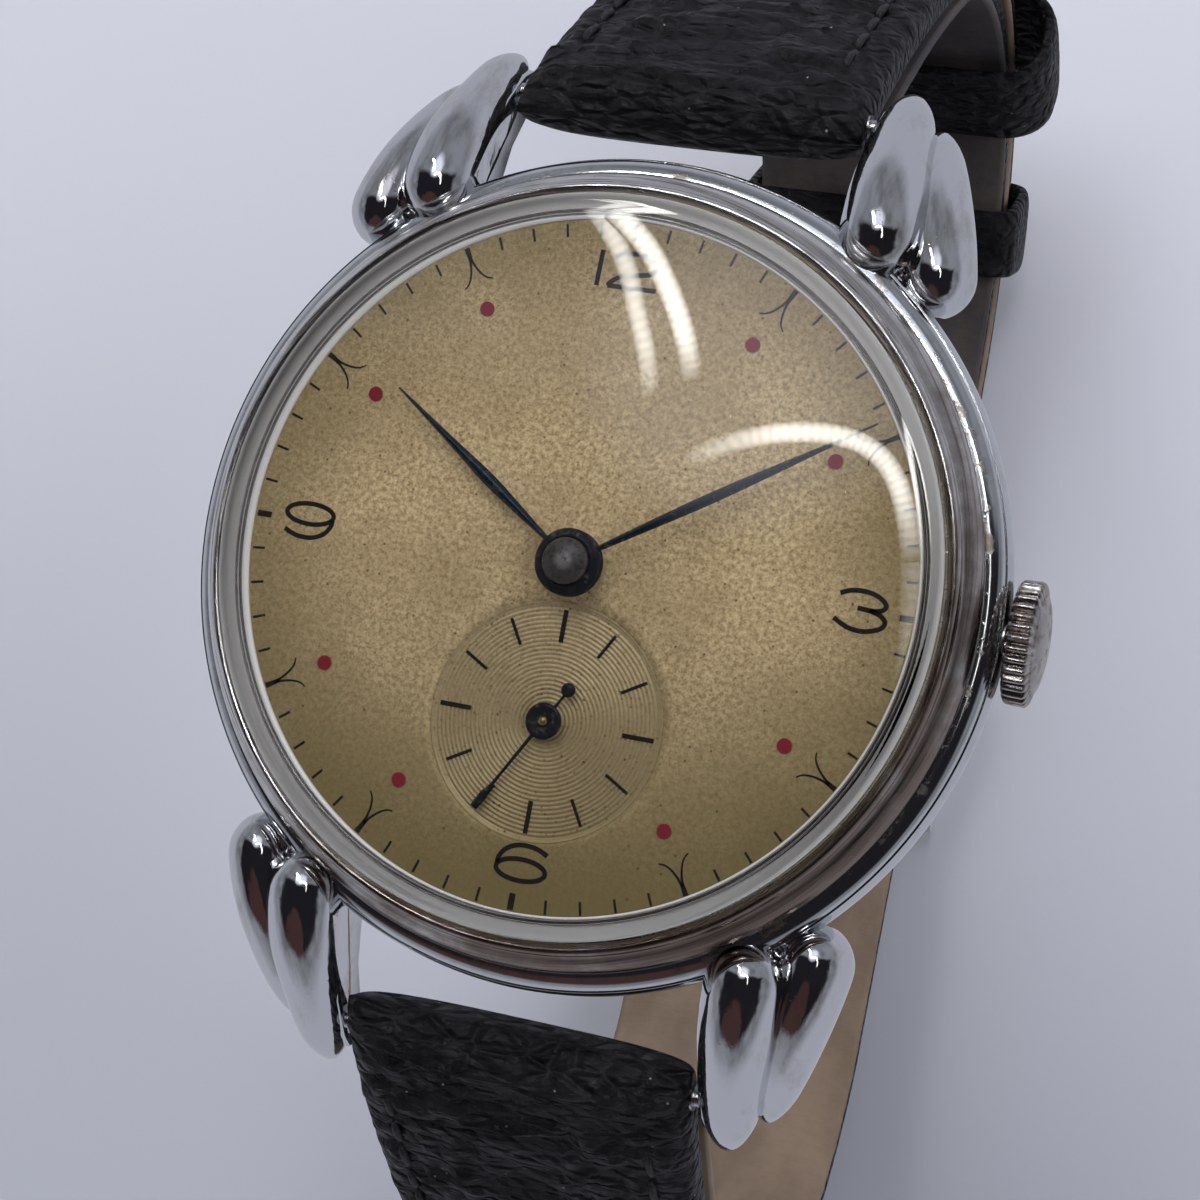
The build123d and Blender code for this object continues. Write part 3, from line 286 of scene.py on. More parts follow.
def chrome_shader():
    s = Shader("polished_chrome", (0.72, 0.73, 0.75), 1.0, 0.09)
    s.set("Roughness", s.ramp(s.ramp(s.noise(0.55, 5), 0.40, 0.72), 0.0, 1.0, 0.045, 0.13))
    stain = s.times(s.ramp(s.noise(0.45, 6, 0.65, stretch=(1.6, 0.5, 0.7)), 0.50, 0.72), 0.5)
    s.paint(stain, (0.72, 0.73, 0.76), (0.40, 0.36, 0.31))
    s.bump(s.times(s.spots(3.2, 0.05, 0.22), s.ramp(s.noise(0.7, 3), 0.52, 0.68)), 0.012, 0.4)
    s.bump(s.noise(0.8, 3, stretch=(1.5, 0.5, 0.7)), 0.09, 0.22)
    return s.material


def pitted_chrome_shader():
    """Plating of the round case: bright, with blisters and brown creeping out from the seams."""
    s = Shader("case_chrome", (0.70, 0.71, 0.73), 1.0, 0.1)
    seam = s.ramp(s.away_from_axis(), 17.0, 17.6, 1.0, 0.12)
    stain = s.times(s.ramp(s.noise(0.8, 6, 0.66), 0.47, 0.66), seam)
    s.paint(stain, (0.70, 0.72, 0.745), (0.26, 0.21, 0.17))
    s.set("Roughness", s.ramp(stain, 0.0, 0.8, 0.11, 0.42))
    pits = s.spots(3.3, 0.05, 0.28)
    s.bump(s.times(pits, s.times(s.ramp(s.noise(0.9, 3), 0.5, 0.66), seam)), 0.03, 0.5)
    s.bump(s.noise(0.6, 2), 0.03, 0.08)
    return s.material


def bezel_shader():
    """Plating worn through to brown, painted darker towards the lower right as a reflection of the dark room, with
    fine rings left by turning and wiping.
    """
    s = Shader("worn_bezel", (0.46, 0.41, 0.37), 1.0, 0.3)
    streaks = s.rings(7.0, 4)
    # side mixes random wear with a painted reflection: the brown darkens towards the lower right, where the bezel
    # mirrors the dark room.
    side = s.maths("ADD", s.along(0.018, -0.02), s.times(s.noise(0.45, 6, 0.66), 0.9))
    base = s.mixed(s.ramp(side, 0.30, 0.88), (0.78, 0.765, 0.755), (0.25, 0.197, 0.168))
    s.paint(s.times(s.ramp(streaks, 0.50, 0.68), 0.75), base, (0.15, 0.115, 0.09))
    s.set("Roughness", s.ramp(s.rings(5.0), 0.35, 0.65, 0.17, 0.36))
    s.bump(streaks, 0.03, 0.35)
    s.bump(s.times(s.spots(4.0, 0.05, 0.25), s.ramp(s.noise(1.5, 3), 0.58, 0.7)), 0.02, 0.6)
    return s.material


def crystal_shader():
    """Clear acrylic. Lamps shine through it, so that the dial under it is lit."""
    s = Shader("acrylic", (1.0, 0.998, 0.985), 0.0, 0.0, Transmission_Weight=1.0, IOR=1.45)
    hair = s.ramp(s.noise(2.2, 2, stretch=(6, 0.35, 1), distortion=0.4), 0.70, 0.76)
    s.bump(hair, 0.0025, 0.10)
    in_shadow = s.node("LightPath").outputs["Is Shadow Ray"]
    clear = s.node("BsdfTransparent").outputs[0]
    mix = s.node("MixShader", {0: in_shadow, 1: s.bsdf.outputs[0], 2: clear})
    s.feed(s.tree.nodes["Material Output"].inputs["Surface"], mix.outputs[0])
    return s.material


SUB_CENTRE = (0.0, -6.64)
SUB_RADIUS = 5.05


def dial_color(s, light, dark, olive_and_shade):
    """Aged lacquer: fine grain and brown specks, olive and darker towards the rim, with painted shade that makes it
    olive and darker low down.
    """
    base = s.mixed(s.ramp(s.noise(4.6, 8, 0.82), 0.36, 0.64), dark, light)
    # The mix along the dial is painted shade, olive and darker towards the bottom; the mix by radius darkens it
    # towards the rim.
    for value, low, high, share, color in (
            (s.noise(0.17, 5, 0.6), 0.38, 0.62, 0.45, dark), (s.along(0.004, -0.05), -0.05, 0.75, 0.85, olive_and_shade),
            (s.away_from_axis(), 9.5, 15.0, 0.6, olive_and_shade)):
        base = s.mixed(s.times(s.ramp(value, low, high), share), base, color)
    brown, black = (0.17, 0.095, 0.04), (0.07, 0.035, 0.018)
    for spacing, small, large, low, high, share, color in (
            (3.6, 0.10, 0.30, 0.46, 0.62, 0.5, brown), (1.5, 0.03, 0.11, 0.50, 0.60, 0.7, brown),
            (0.7, 0.02, 0.055, 0.48, 0.56, 0.8, black)):
        spots = s.spots(spacing, small, large, flat=True)
        chosen = s.ramp(s.noise(spacing * 0.8, 2), low, high, 0.0, share)
        base = s.mixed(s.times(spots, chosen), base, color)
    return base


def dial_shader():
    s = Shader("aged_dial", (0.5, 0.4, 0.24), 0.3, 0.42, Specular_IOR_Level=0.4)
    s.set("Base Color", dial_color(s, (0.64, 0.50, 0.30), (0.25, 0.185, 0.095), (0.12, 0.096, 0.042)))
    s.bump(s.noise(5.0, 5), 0.016, 0.5)
    return s.material


def sub_dial_shader():
    s = Shader("grooved_dial", (0.5, 0.4, 0.24), 0.7, 0.3)
    s.set("Base Color", dial_color(s, (0.68, 0.55, 0.345), (0.47, 0.365, 0.205), (0.31, 0.25, 0.13)))
    return s.material


def flat_ink(name, color, roughness=0.45):
    s = Shader(name, color, 0.0, roughness)
    s.paint(s.times(s.ramp(s.noise(7.0, 3), 0.62, 0.8), 0.35), color, tuple(0.3 * c + 0.06 for c in color))
    return s.material


def hand_shader():
    s = Shader("blued_hands", (0.035, 0.055, 0.085), 0.9, 0.26)
    wear = s.ramp(s.noise(3.0, 4), 0.5, 0.75)
    s.paint(wear, (0.030, 0.050, 0.080), (0.10, 0.105, 0.11))
    s.set("Roughness", s.ramp(wear, 0.0, 1.0, 0.2, 0.42))
    s.bump(s.noise(9.0, 3), 0.01, 0.3)
    return s.material


def hub_shader():
    s = Shader("black_hub", (0.02, 0.022, 0.026), 0.7, 0.24)
    wear = s.ramp(s.noise(3.2, 4), 0.52, 0.72)
    s.paint(wear, (0.018, 0.020, 0.026), (0.09, 0.085, 0.08))
    s.bump(s.noise(7.0, 4), 0.02, 0.4)
    return s.material


def cap_shader():
    s = Shader("grey_cap", (0.2, 0.19, 0.18), 0.85, 0.34)
    base = s.mixed(s.ramp(s.away_from_axis(), 0.2, 0.5), (0.34, 0.33, 0.33), (0.12, 0.115, 0.115))
    s.paint(s.times(s.ramp(s.noise(4.0, 5, 0.7), 0.45, 0.7), 0.8), base, (0.035, 0.03, 0.03))
    s.bump(s.noise(6.0, 5), 0.03, 0.6)
    return s.material


def crown_shader():
    s = Shader("worn_crown", (0.4, 0.37, 0.35), 1.0, 0.3)
    edge = s.ramp(s.node("NewGeometry").outputs["Pointiness"], 0.44, 0.54)
    dirt = s.ramp(s.noise(1.6, 5, 0.7), 0.42, 0.7)
    base = s.mixed(edge, (0.12, 0.09, 0.08), (0.55, 0.52, 0.50))
    s.paint(s.times(dirt, 0.6), base, (0.20, 0.14, 0.12))
    s.set("Roughness", s.ramp(dirt, 0.0, 1.0, 0.2, 0.5))
    s.bump(s.noise(6.0, 4), 0.02, 0.5)
    return s.material


def brushed_shader(name, color, roughness, spread=0.08, scale=1.0, detail=3, stretch=(14, 1, 14), depth=0.004):
    s = Shader(name, color, 1.0, roughness)
    streak = s.noise(scale, detail, stretch=stretch)
    s.set("Roughness", s.ramp(streak, 0.3, 0.7, roughness - spread, roughness + spread))
    s.bump(streak, depth, 0.3)
    return s.material


def brass_shader():
    s = Shader("gilt_brass", (0.75, 0.56, 0.26), 1.0, 0.3)
    s.set("Roughness", s.ramp(s.noise(8.0, 3), 0.3, 0.7, 0.22, 0.4))
    s.bump(s.noise(16.0, 2), 0.004, 0.3)
    return s.material


def leather_shader():
    s = Shader("black_leather", (0.008, 0.008, 0.010), 0.0, 0.5, Specular_IOR_Level=0.21)
    folds = s.noise(0.7, 5, 0.6, stretch=(0.55, 1.35, 1.35), distortion=0.7)
    creases = s.cells(0.9, "DISTANCE_TO_EDGE", stretch=(0.62, 1.2, 1.2))
    pebbles = s.cells(2.4, "SMOOTH_F1", stretch=(0.8, 1.3, 1.3))
    s.bump(folds, 0.30, 0.9)
    s.bump(s.ramp(creases, 0.0, 0.26), 0.20, 0.9)
    s.bump(pebbles, 0.13, 0.8)
    s.bump(s.noise(7.5, 3, 0.6), 0.03, 0.5)
    s.set("Roughness", s.ramp(pebbles, 0.1, 0.8, 0.38, 0.6))
    # Painted shade: the colour is darker in the valleys of the folds than on their crests.
    painted_fold_shade = s.mixed(s.ramp(folds, 0.3, 0.7), (0.002, 0.002, 0.0025), (0.008, 0.008, 0.0095))
    s.paint(s.times(s.spots(0.9, 0.03, 0.07), 0.6), painted_fold_shade, (0.30, 0.30, 0.32))
    return s.material


def lining_shader(name, pale, dark):
    """Smooth lining leather, rubbed darker in long soft patches."""
    s = Shader(name, pale, 0.0, 0.62, Specular_IOR_Level=0.3)
    rubbed = s.noise(0.16, 5, 0.62, stretch=(1.0, 0.6, 0.6))
    fibres = s.noise(2.2, 4, 0.6, stretch=(0.5, 1.2, 1.2))
    base = s.mixed(s.ramp(rubbed, 0.34, 0.68), pale, dark)
    s.paint(s.times(s.ramp(fibres, 0.45, 0.75), 0.35), base, dark)
    s.bump(fibres, 0.06, 0.6)
    return s.material


def thread_shader():
    s = Shader("black_thread", (0.012, 0.012, 0.014), 0.0, 0.6)
    ply = s.noise(4.5, 2, stretch=(2.5, 1, 1))
    s.paint(s.ramp(ply, 0.35, 0.7), (0.004, 0.004, 0.005), (0.016, 0.016, 0.018))
    s.bump(ply, 0.05, 0.7)
    return s.material


def floor_shader():
    s = Shader("pale_floor", (0.5, 0.5, 0.55), 0.0, 0.75)
    far = s.node("SeparateXYZ", {0: s.stretched(0, 1, 0)}).outputs["Y"]
    cloud = s.noise(0.012, 3)
    # Painted shade: the floor's colour darkens towards the near, -y side in place of the lamps' falloff.
    base = s.mixed(s.ramp(far, -62.0, 30.0), (0.29, 0.305, 0.357), (0.425, 0.433, 0.498))
    s.paint(s.times(s.ramp(cloud, 0.3, 0.7), 0.10), base, (0.50, 0.51, 0.57))
    return s.material


CHROME = chrome_shader()
CASE_CHROME = pitted_chrome_shader()
BEZEL = bezel_shader()
ACRYLIC = crystal_shader()
DIAL = dial_shader()
SUB_DIAL = sub_dial_shader()
INK = flat_ink("dial_ink", (0.006, 0.005, 0.005), 0.55)
RED_INK = flat_ink("red_dots", (0.115, 0.010, 0.017), 0.35)
HANDS = hand_shader()
HUB = hub_shader()
CAP = cap_shader()
CROWN = crown_shader()
STEEL = brushed_shader("satin_steel", (0.58, 0.58, 0.60), 0.28)
POLISHED = brushed_shader("polished_steel", (0.66, 0.67, 0.69), 0.14)
BRASS = brass_shader()
SILVER = brushed_shader("nickel_bridges", (0.70, 0.68, 0.64), 0.27, 0.09, 0.6, 2, (1, 3, 1), 0.01)
RUBY = Shader("ruby", (0.55, 0.02, 0.08), 0.0, 0.08, Transmission_Weight=0.5, IOR=1.76).material
SILVERED = Shader("silvered_ring", (0.74, 0.735, 0.74), 0.55, 0.4).material
LEATHER = leather_shader()
LINING_DARK = lining_shader("dark_lining", (0.060, 0.050, 0.047), (0.024, 0.022, 0.024))
LINING_TAN = lining_shader("tan_lining", (0.19, 0.14, 0.105), (0.12, 0.087, 0.066))
THREAD = thread_shader()

# CAD nodes that stay as they are get the finish of their slot
finishes = {"chrome": CHROME, "worn_nickel": BEZEL, "steel": STEEL, "crown_steel": CROWN, "acrylic": ACRYLIC,
            "dial_cream": DIAL, "dial_ink": INK, "blued_steel": HANDS, "gilt_brass": BRASS,
            "nickel_silver": SILVER, "ruby": RUBY, "movement_steel": POLISHED, "black_leather": LEATHER}
for part in frame["record"]["subparts"]:
    for slot in nodes[part["node"]].material_slots:
        slot.material = finishes[part["material_slot"]]

# ---- case, bezel and crystal
case_outline = ([(15.3, 1.52), (16.95, 1.52)] + arc(16.7, 3.0, 1.0, 1.46, -72, -12, 10)
                + arc(15.0, 4.2, 3.0, 2.2, -12, 22, 14) + arc(16.95, 4.65, 0.9, 0.78, 24, 84, 12)
                + [(16.9, 5.43), (15.95, 5.42), (15.93, 6.38), (15.3, 6.38)])
lathe("case_ring", case_outline, CASE_CHROME, replaces=["mid_case"], slot="chrome")

bezel_outline = ([(15.98, 5.44), (16.93, 5.44), (17.0, 5.52)] + arc(15.35, 5.75, 1.66, 1.25, 6, 52, 12)
                 + [(16.30, 6.80), (16.24, 6.86)] + arc(15.98, 7.14, 0.27, 0.38, -30, 160, 16)
                 + [(15.71, 7.05), (15.70, 6.48), (15.98, 6.47)])
lathe("bezel_ring", bezel_outline, BEZEL, replaces=["bezel"], slot="worn_nickel")

DOME_RISE = 1.75


def dome(top, reach, count=40):
    """From the rim of a spherical cap to just beside its middle."""
    radius = (reach ** 2 + DOME_RISE ** 2) / (2 * DOME_RISE)
    steps = [reach * (1 - k / count) for k in range(count)]
    return [(r, top - radius + sqrt(radius ** 2 - r ** 2)) for r in steps]


crystal_outline = ([(0, 9.3)] + dome(9.3, 14.45)[::-1] + arc(14.4, 7.1, 0.46, 0.46, 75, 0, 8)
                   + [(14.86, 6.53), (15.55, 6.53), (15.64, 6.62), (15.64, 7.7)]
                   + arc(15.08, 7.72, 0.56, 0.6, 4, 78, 10) + dome(10.08, 15.05) + [(0, 10.08)])
piece("crystal_dome", *turned_mesh(crystal_outline, steps=256), ACRYLIC, replaces=["crystal"], slot="acrylic")

# bright ring that the crystal's foot stands on
seat_outline = [(14.60, 6.502), (14.64, 6.55), (14.84, 6.66), (14.85, 6.526), (15.6, 6.526), (15.6, 6.502)]
lathe("crystal_seat", seat_outline, SILVERED, slot="chrome")

# ---- dial
DIAL_Z = 6.5
DIAL_RADIUS = 15.15


def dial_plate():
    """Flat dial with a round sink for the seconds: rings run from the sink's edge to the outer edge."""
    steps, rings = 256, 26
    inner, outer = ring(SUB_RADIUS, DIAL_Z, steps, *SUB_CENTRE), ring(DIAL_RADIUS, DIAL_Z, steps)
    verts = []
    for i in range(rings + 1):
        t, drop = i / rings, 0.0 if i else 0.03
        verts += [(a[0] * (1 - t) + b[0] * t, a[1] * (1 - t) + b[1] * t, DIAL_Z - drop)
                  for a, b in zip(inner, outer)]
    verts += ring(DIAL_RADIUS, DIAL_Z - 0.4, steps) + ring(SUB_RADIUS, DIAL_Z - 0.4, steps, *SUB_CENTRE)
    piece("dial_plate", verts, grid_faces(rings + 3, steps, wrap_rows=True), DIAL, replaces=["dial"],
          slot="dial_cream")


def sub_dial():
    """Sunk disc turned with fine concentric grooves."""
    steps, grooves, floor_z, under = 192, 25, DIAL_Z - 0.13, DIAL_Z - 0.38
    radii = [(SUB_RADIUS - 0.005, DIAL_Z - 0.02), (SUB_RADIUS - 0.06, DIAL_Z - 0.11), (SUB_RADIUS - 0.16, floor_z)]
    pitch = (SUB_RADIUS - 0.28) / (grooves + 1)
    for g in range(grooves):
        outer = SUB_RADIUS - 0.2 - g * pitch
        for share, depth in ((0.0, 0.0), (0.22, -0.05), (0.44, 0.0), (0.6, 0.02), (0.8, 0.02)):
            radii.append((outer - share * pitch, floor_z + depth))
    radii += [(0.3, floor_z), (0.28, under), (SUB_RADIUS - 0.01, under)]
    verts = [p for radius, z in radii for p in ring(radius, z, steps, *SUB_CENTRE)]
    piece("seconds_sink", verts, grid_faces(len(radii), steps, wrap_rows=True), SUB_DIAL, replaces=["dial"],
          slot="dial_cream")


dial_plate()
sub_dial()


class Strokes:
    """Collects thin printed strokes, each a closed ribbon of its own width."""

    def __init__(self, low, thick=0.014):
        self.low, self.high = low, low + thick
        self.meshes = []

    def line(self, points, widths):
        """Ribbon along the points; widths is one number, or one for each point."""
        if not hasattr(widths, "__len__"):
            widths = [widths] * len(points)
        verts = []
        for k, (x, y) in enumerate(points):
            ax, ay = points[max(k - 1, 0)]
            bx, by = points[min(k + 1, len(points) - 1)]
            length = hypot(bx - ax, by - ay)
            nx, ny = -(by - ay) / length * widths[k] / 2, (bx - ax) / length * widths[k] / 2
            for sx, z in ((1, self.low), (1, self.high), (-1, self.high), (-1, self.low)):
                verts.append((x + nx * sx, y + ny * sx, z))
        self.meshes.append((verts, capped_faces(len(points), 4)))

    def dot(self, x, y, radius, steps=28, waver=0.06):
        """Hand-painted dot, not quite round."""
        verts = []
        for z in (self.low, self.high):
            for a in turns(steps):
                r = radius * (1 + waver * noise.noise(Vector((cos(a) + x, sin(a) + y, 0.3))))
                verts.append((x + r * cos(a), y + r * sin(a), z))
        self.meshes.append((verts, capped_faces(2, steps)))

    def make(self, name, material):
        piece(name, *merged(*self.meshes), material, replaces=["dial_print"], slot="dial_ink", smooth=False)


def around(radius, clock_angle, side=0.0):
    """Point at a clockwise angle from 12, moved sideways by some millimetres."""
    a = radians(clock_angle)
    return radius * sin(a) + side * cos(a), radius * cos(a) - side * sin(a)


FIGURE_STROKE = 0.20
DOTTED_HOURS = (1, 2, 4, 5, 7, 8, 10, 11)
print_marks = Strokes(DIAL_Z)
two = smooth_line([(-0.62, 13.02), (-0.3, 13.22), (0.4, 13.28), (1.0, 13.08), (1.2, 12.78), (0.95, 12.5),
                   (0.35, 12.38), (-0.35, 12.22), (-0.72, 11.95), (-0.76, 11.84)])
three_high = smooth_line([(11.3, 0.62), (11.7, 0.79), (12.15, 0.84), (12.62, 0.79), (13.02, 0.62), (13.24, 0.38),
                          (13.1, 0.17), (12.7, 0.1), (12.1, 0.13)])
three_low = smooth_line([(12.6, 0.1), (13.02, -0.02), (13.28, -0.24), (13.24, -0.48), (12.95, -0.66), (12.4, -0.78),
                         (11.8, -0.7), (11.2, -0.41)])
six_back = smooth_line([(1.17, -12.09), (0.82, -11.93), (0.4, -11.84), (-0.15, -11.86), (-0.62, -12.08),
                        (-0.88, -12.42), (-0.93, -12.72)])
six_loop = arc(0.13, -12.86, 1.08, 0.44, 205, 565, 48)
nine = [[(-x - 11.96, -y - 12.55) for x, y in stroke] for stroke in (six_back, six_loop)]
for stroke in ([(-1.25, 13.3), (-1.28, 11.78)], two, [(-0.8, 11.83), (1.34, 11.83)], three_high, three_low,
               six_back, six_loop, *nine):
    print_marks.line(stroke, FIGURE_STROKE)
for minute in range(60):
    inner, wide = (13.95, 0.10) if minute % 15 else (13.85, 0.26)
    if minute % 5 or minute % 15 == 0:
        print_marks.line([around(inner, 6 * minute), around(14.5, 6 * minute)], wide)
for hour in DOTTED_HOURS:
    angle = 30 * hour
    print_marks.line([around(14.55, angle), around(13.95, angle)], [0.24, 0.17])
    for side in (-1, 1):
        prong = smooth_line([(14.1, 0.02), (13.75, 0.08), (13.35, 0.22), (13.05, 0.42), (12.9, 0.66)], 5)
        widths = [0.11 - 0.055 * k / len(prong) for k in range(len(prong))]
        print_marks.line([around(r, angle, side * across) for r, across in prong], widths)
print_marks.make("dial_figures", INK)

second_marks = Strokes(DIAL_Z - 0.118)
for k in range(12):
    inner, outer, wide = (3.42, 4.62, 0.135) if k % 3 else (3.35, 4.72, 0.20)
    ends = [around(r, 30 * k) for r in (inner, outer)]
    second_marks.line([(SUB_CENTRE[0] + x, SUB_CENTRE[1] + y) for x, y in ends], wide)
second_marks.make("seconds_strokes", INK)

dots = Strokes(DIAL_Z, 0.05)
for hour in DOTTED_HOURS:
    dots.dot(*around(11.73, 30 * hour), 0.31)
dots.make("hour_dots", RED_INK)


# ---- hands
HOURS_SHOWN = 10
MINUTES_SHOWN = 9.583
SECONDS_SHOWN = 35.0


def ridged_blade(profile, z, thick, turn, centre=(0.0, 0.0)):
    """Slim blade along its (distance, half width) profile, with a raised middle line."""
    section = ((-1, 0.0), (-0.45, 0.75), (0.0, 1), (0.45, 0.75), (1, 0.0), (0.4, -0.25), (-0.4, -0.25))
    verts = []
    for r, half in profile:
        for side, lift in section:
            x, y = around(r, turn, side * half)
            verts.append((x + centre[0], y + centre[1], z + lift * thick))
    return verts, capped_faces(len(profile), len(section))


hour_turn = 30 * (HOURS_SHOWN - 12) + MINUTES_SHOWN / 2
minute_turn = 6 * MINUTES_SHOWN
hour_blade = smooth_line([(0.9, 0.10), (1.9, 0.13), (3.2, 0.20), (4.6, 0.265), (5.6, 0.26), (7.4, 0.175), (9.4, 0.10),
                          (10.85, 0.045)], 5)
minute_blade = smooth_line([(0.9, 0.11), (2.0, 0.14), (4.2, 0.20), (6.4, 0.235), (8.6, 0.20), (11.2, 0.12),
                            (13.95, 0.04)], 5)
hour_hub = turned_mesh([(0, 6.99), (1.3, 6.99), (1.42, 7.06), (1.42, 7.16), (1.36, 7.22), (0, 7.22)])
hub_outline = ([(0, 7.36), (1.22, 7.36)] + arc(1.22, 7.5, 0.2, 0.14, -70, 60, 8)
               + [(1.2, 7.70), (1.06, 7.76), (1.0, 7.72), (0, 7.72)])
cap_outline = [(0, 7.6), (0.98, 7.6), (0.98, 7.88)] + arc(0.0, 7.88, 0.98, 0.34, 8, 90, 10)
for name, mesh, material, body, hand in (
        ("hour_hand_blade", merged(ridged_blade(hour_blade, 7.05, 0.13, hour_turn), hour_hub), HANDS, "hour_pipe",
         "hour_hand"),
        ("minute_hand_blade", ridged_blade(minute_blade, 7.42, 0.13, minute_turn), HANDS, "centre_arbor",
         "minute_hand"),
        ("minute_hand_hub", turned_mesh(hub_outline), HUB, "centre_arbor", "minute_hand"),
        ("hub_cap", turned_mesh(cap_outline), CAP, "centre_arbor", "minute_hand")):
    piece(name, *mesh, material, body=body, replaces=[hand], slot="blued_steel")


def seconds_hand():
    """Hand of the small dial with its counterweight ball, its ring and the pivot's end."""
    turn = 6 * SECONDS_SHOWN
    blade = smooth_line([(0.5, 0.09), (2.2, 0.075), (3.2, 0.075), (3.7, 0.13), (4.0, 0.19), (4.66, 0.16)], 4)
    tail = [(0.5, 0.10), (1.1, 0.06), (1.6, 0.08)]
    x, y = around(1.66, turn + 180)
    ball = turned_mesh([(0, 6.70), (0.26, 6.70)] + arc(0, 6.78, 0.31, 0.12, -20, 90, 8),
                       x + SUB_CENTRE[0], y + SUB_CENTRE[1])
    collar = turned_mesh([(0, 6.67), (0.66, 6.67)] + arc(0.62, 6.77, 0.16, 0.1, -60, 110, 8)
                         + [(0.3, 6.84), (0, 6.80)], *SUB_CENTRE)
    body = merged(ridged_blade(blade, 6.72, 0.08, turn, SUB_CENTRE),
                  ridged_blade(tail, 6.72, 0.08, turn + 180, SUB_CENTRE), ball, collar)
    piece("seconds_hand_body", *body, HUB, body="seconds_arbor", replaces=["seconds_hand"], slot="blued_steel")
    pin = turned_mesh([(0, 6.6), (0.2, 6.6), (0.2, 6.87), (0.12, 6.93), (0, 6.95)], *SUB_CENTRE)
    piece("seconds_pivot_end", *pin, BRASS, body="seconds_arbor", replaces=["seconds_hand"], slot="gilt_brass")


seconds_hand()

# ---- lugs
INNER_LOBE = [(13.95, 9.95, 4.4, 1.72, 1.86), (15.2, 9.93, 4.45, 1.78, 1.92), (16.4, 9.87, 4.25, 1.78, 1.92),
              (18.0, 9.75, 3.5, 1.72, 1.86), (20.0, 9.57, 2.05, 1.46, 1.62), (21.7, 9.45, 0.6, 1.18, 1.35),
              (23.25, 9.3, -0.85, 0.85, 0.95)]
OUTER_LOBE = [(12.8, 12.65, 3.75, 1.48, 1.65), (14.0, 12.58, 3.85, 1.58, 1.75), (15.2, 12.38, 3.65, 1.58, 1.75),
              (16.8, 12.02, 3.05, 1.5, 1.7), (18.6, 11.6, 2.0, 1.28, 1.48), (20.2, 11.2, 0.85, 1.0, 1.15),
              (21.7, 10.85, -0.25, 0.7, 0.8)]
HEAD_LENGTH, TIP_LENGTH = 1.75, 1.9
LUG_INNER_X = 8.15


def rounded_off(y, first, last):
    """Share of the full width left near both round ends."""
    ends = (max(0.0, 1 - (y - first) / HEAD_LENGTH), max(0.0, 1 - (last - y) / TIP_LENGTH))
    return prod(sqrt(max(1 - end ** 2, 0.0008)) for end in ends)


def lobe_mesh(stations, side, end, steps=72, rows=45):
    """Teardrop swept along its bent axis, round at both ends and cut flat beside the strap."""
    first, last = stations[0][0], stations[-1][0]
    fine = smooth_line(stations, 24)
    wanted = [first + (last - first) * (1 - cos(pi * k / (rows - 1))) / 2 for k in range(rows)]
    line = [min(fine, key=lambda p: abs(p[0] - y)) for y in wanted]
    verts = []
    for k, (y, x, z, half_w, half_h) in enumerate(line):
        a, b = line[max(k - 3, 0)], line[min(k + 3, rows - 1)]
        along = Vector((b[1] - a[1], b[0] - a[0], b[2] - a[2])).normalized()
        across = Vector((along.y, -along.x, 0)).normalized()
        lift = across.cross(along)
        share = rounded_off(y, first, last)
        for turn in turns(steps):
            p = (Vector((x, y, z)) + across * (share * half_w * cos(turn))
                 + lift * (share * half_h * sin(turn)))
            verts.append((side * max(p.x, LUG_INNER_X), end * p.y, p.z))
    return verts, capped_faces(rows, steps)


def flank_mesh(side, end):
    """Flat cheek under the inner lobe, between the case and the spring bar."""
    outline = [(14.3, 2.1), (14.3, 4.7), (16.4, 5.1), (18.4, 4.2), (20.4, 2.8), (22.0, 1.2), (22.6, 0.1),
               (21.9, -0.5), (20.4, 0.0), (18.6, 1.2), (16.6, 1.8)]
    return [(side * x, end * y, z) for x in (8.17, 9.7) for y, z in outline], capped_faces(2, len(outline))


def saddle_mesh(side, end):
    """Metal that joins both teardrops to the case."""
    verts = []
    for x, high in ((8.6, 4.3), (10.4, 4.6), (11.3, 4.7), (12.3, 4.2)):
        for y, z in ((12.6, 2.2), (17.6, 2.2), (17.9, high - 1.4), (16.9, high - 0.3), (15.0, high), (12.6, high)):
            verts.append((side * x, end * y, z))
    return verts, capped_faces(4, 6)


for lug, side, end in (("lug_12_left", -1, 1), ("lug_12_right", 1, 1), ("lug_6_left", -1, -1),
                       ("lug_6_right", 1, -1)):
    part_of = {"replaces": [lug], "slot": "chrome"}
    piece(f"{lug}_long_drop", *lobe_mesh(INNER_LOBE, side, end), CHROME, **part_of)
    piece(f"{lug}_short_drop", *lobe_mesh(OUTER_LOBE, side, end), CHROME, **part_of)
    cheek = piece(f"{lug}_cheek", *flank_mesh(side, end), CASE_CHROME, smooth=False, **part_of)
    modified(cheek, "BEVEL", width=0.22 * MM, segments=3)
    modified(cheek, "WEIGHTED_NORMAL")
    saddle = piece(f"{lug}_saddle", *saddle_mesh(side, end), CASE_CHROME, **part_of)
    modified(saddle, "SUBSURF", levels=2, render_levels=2)


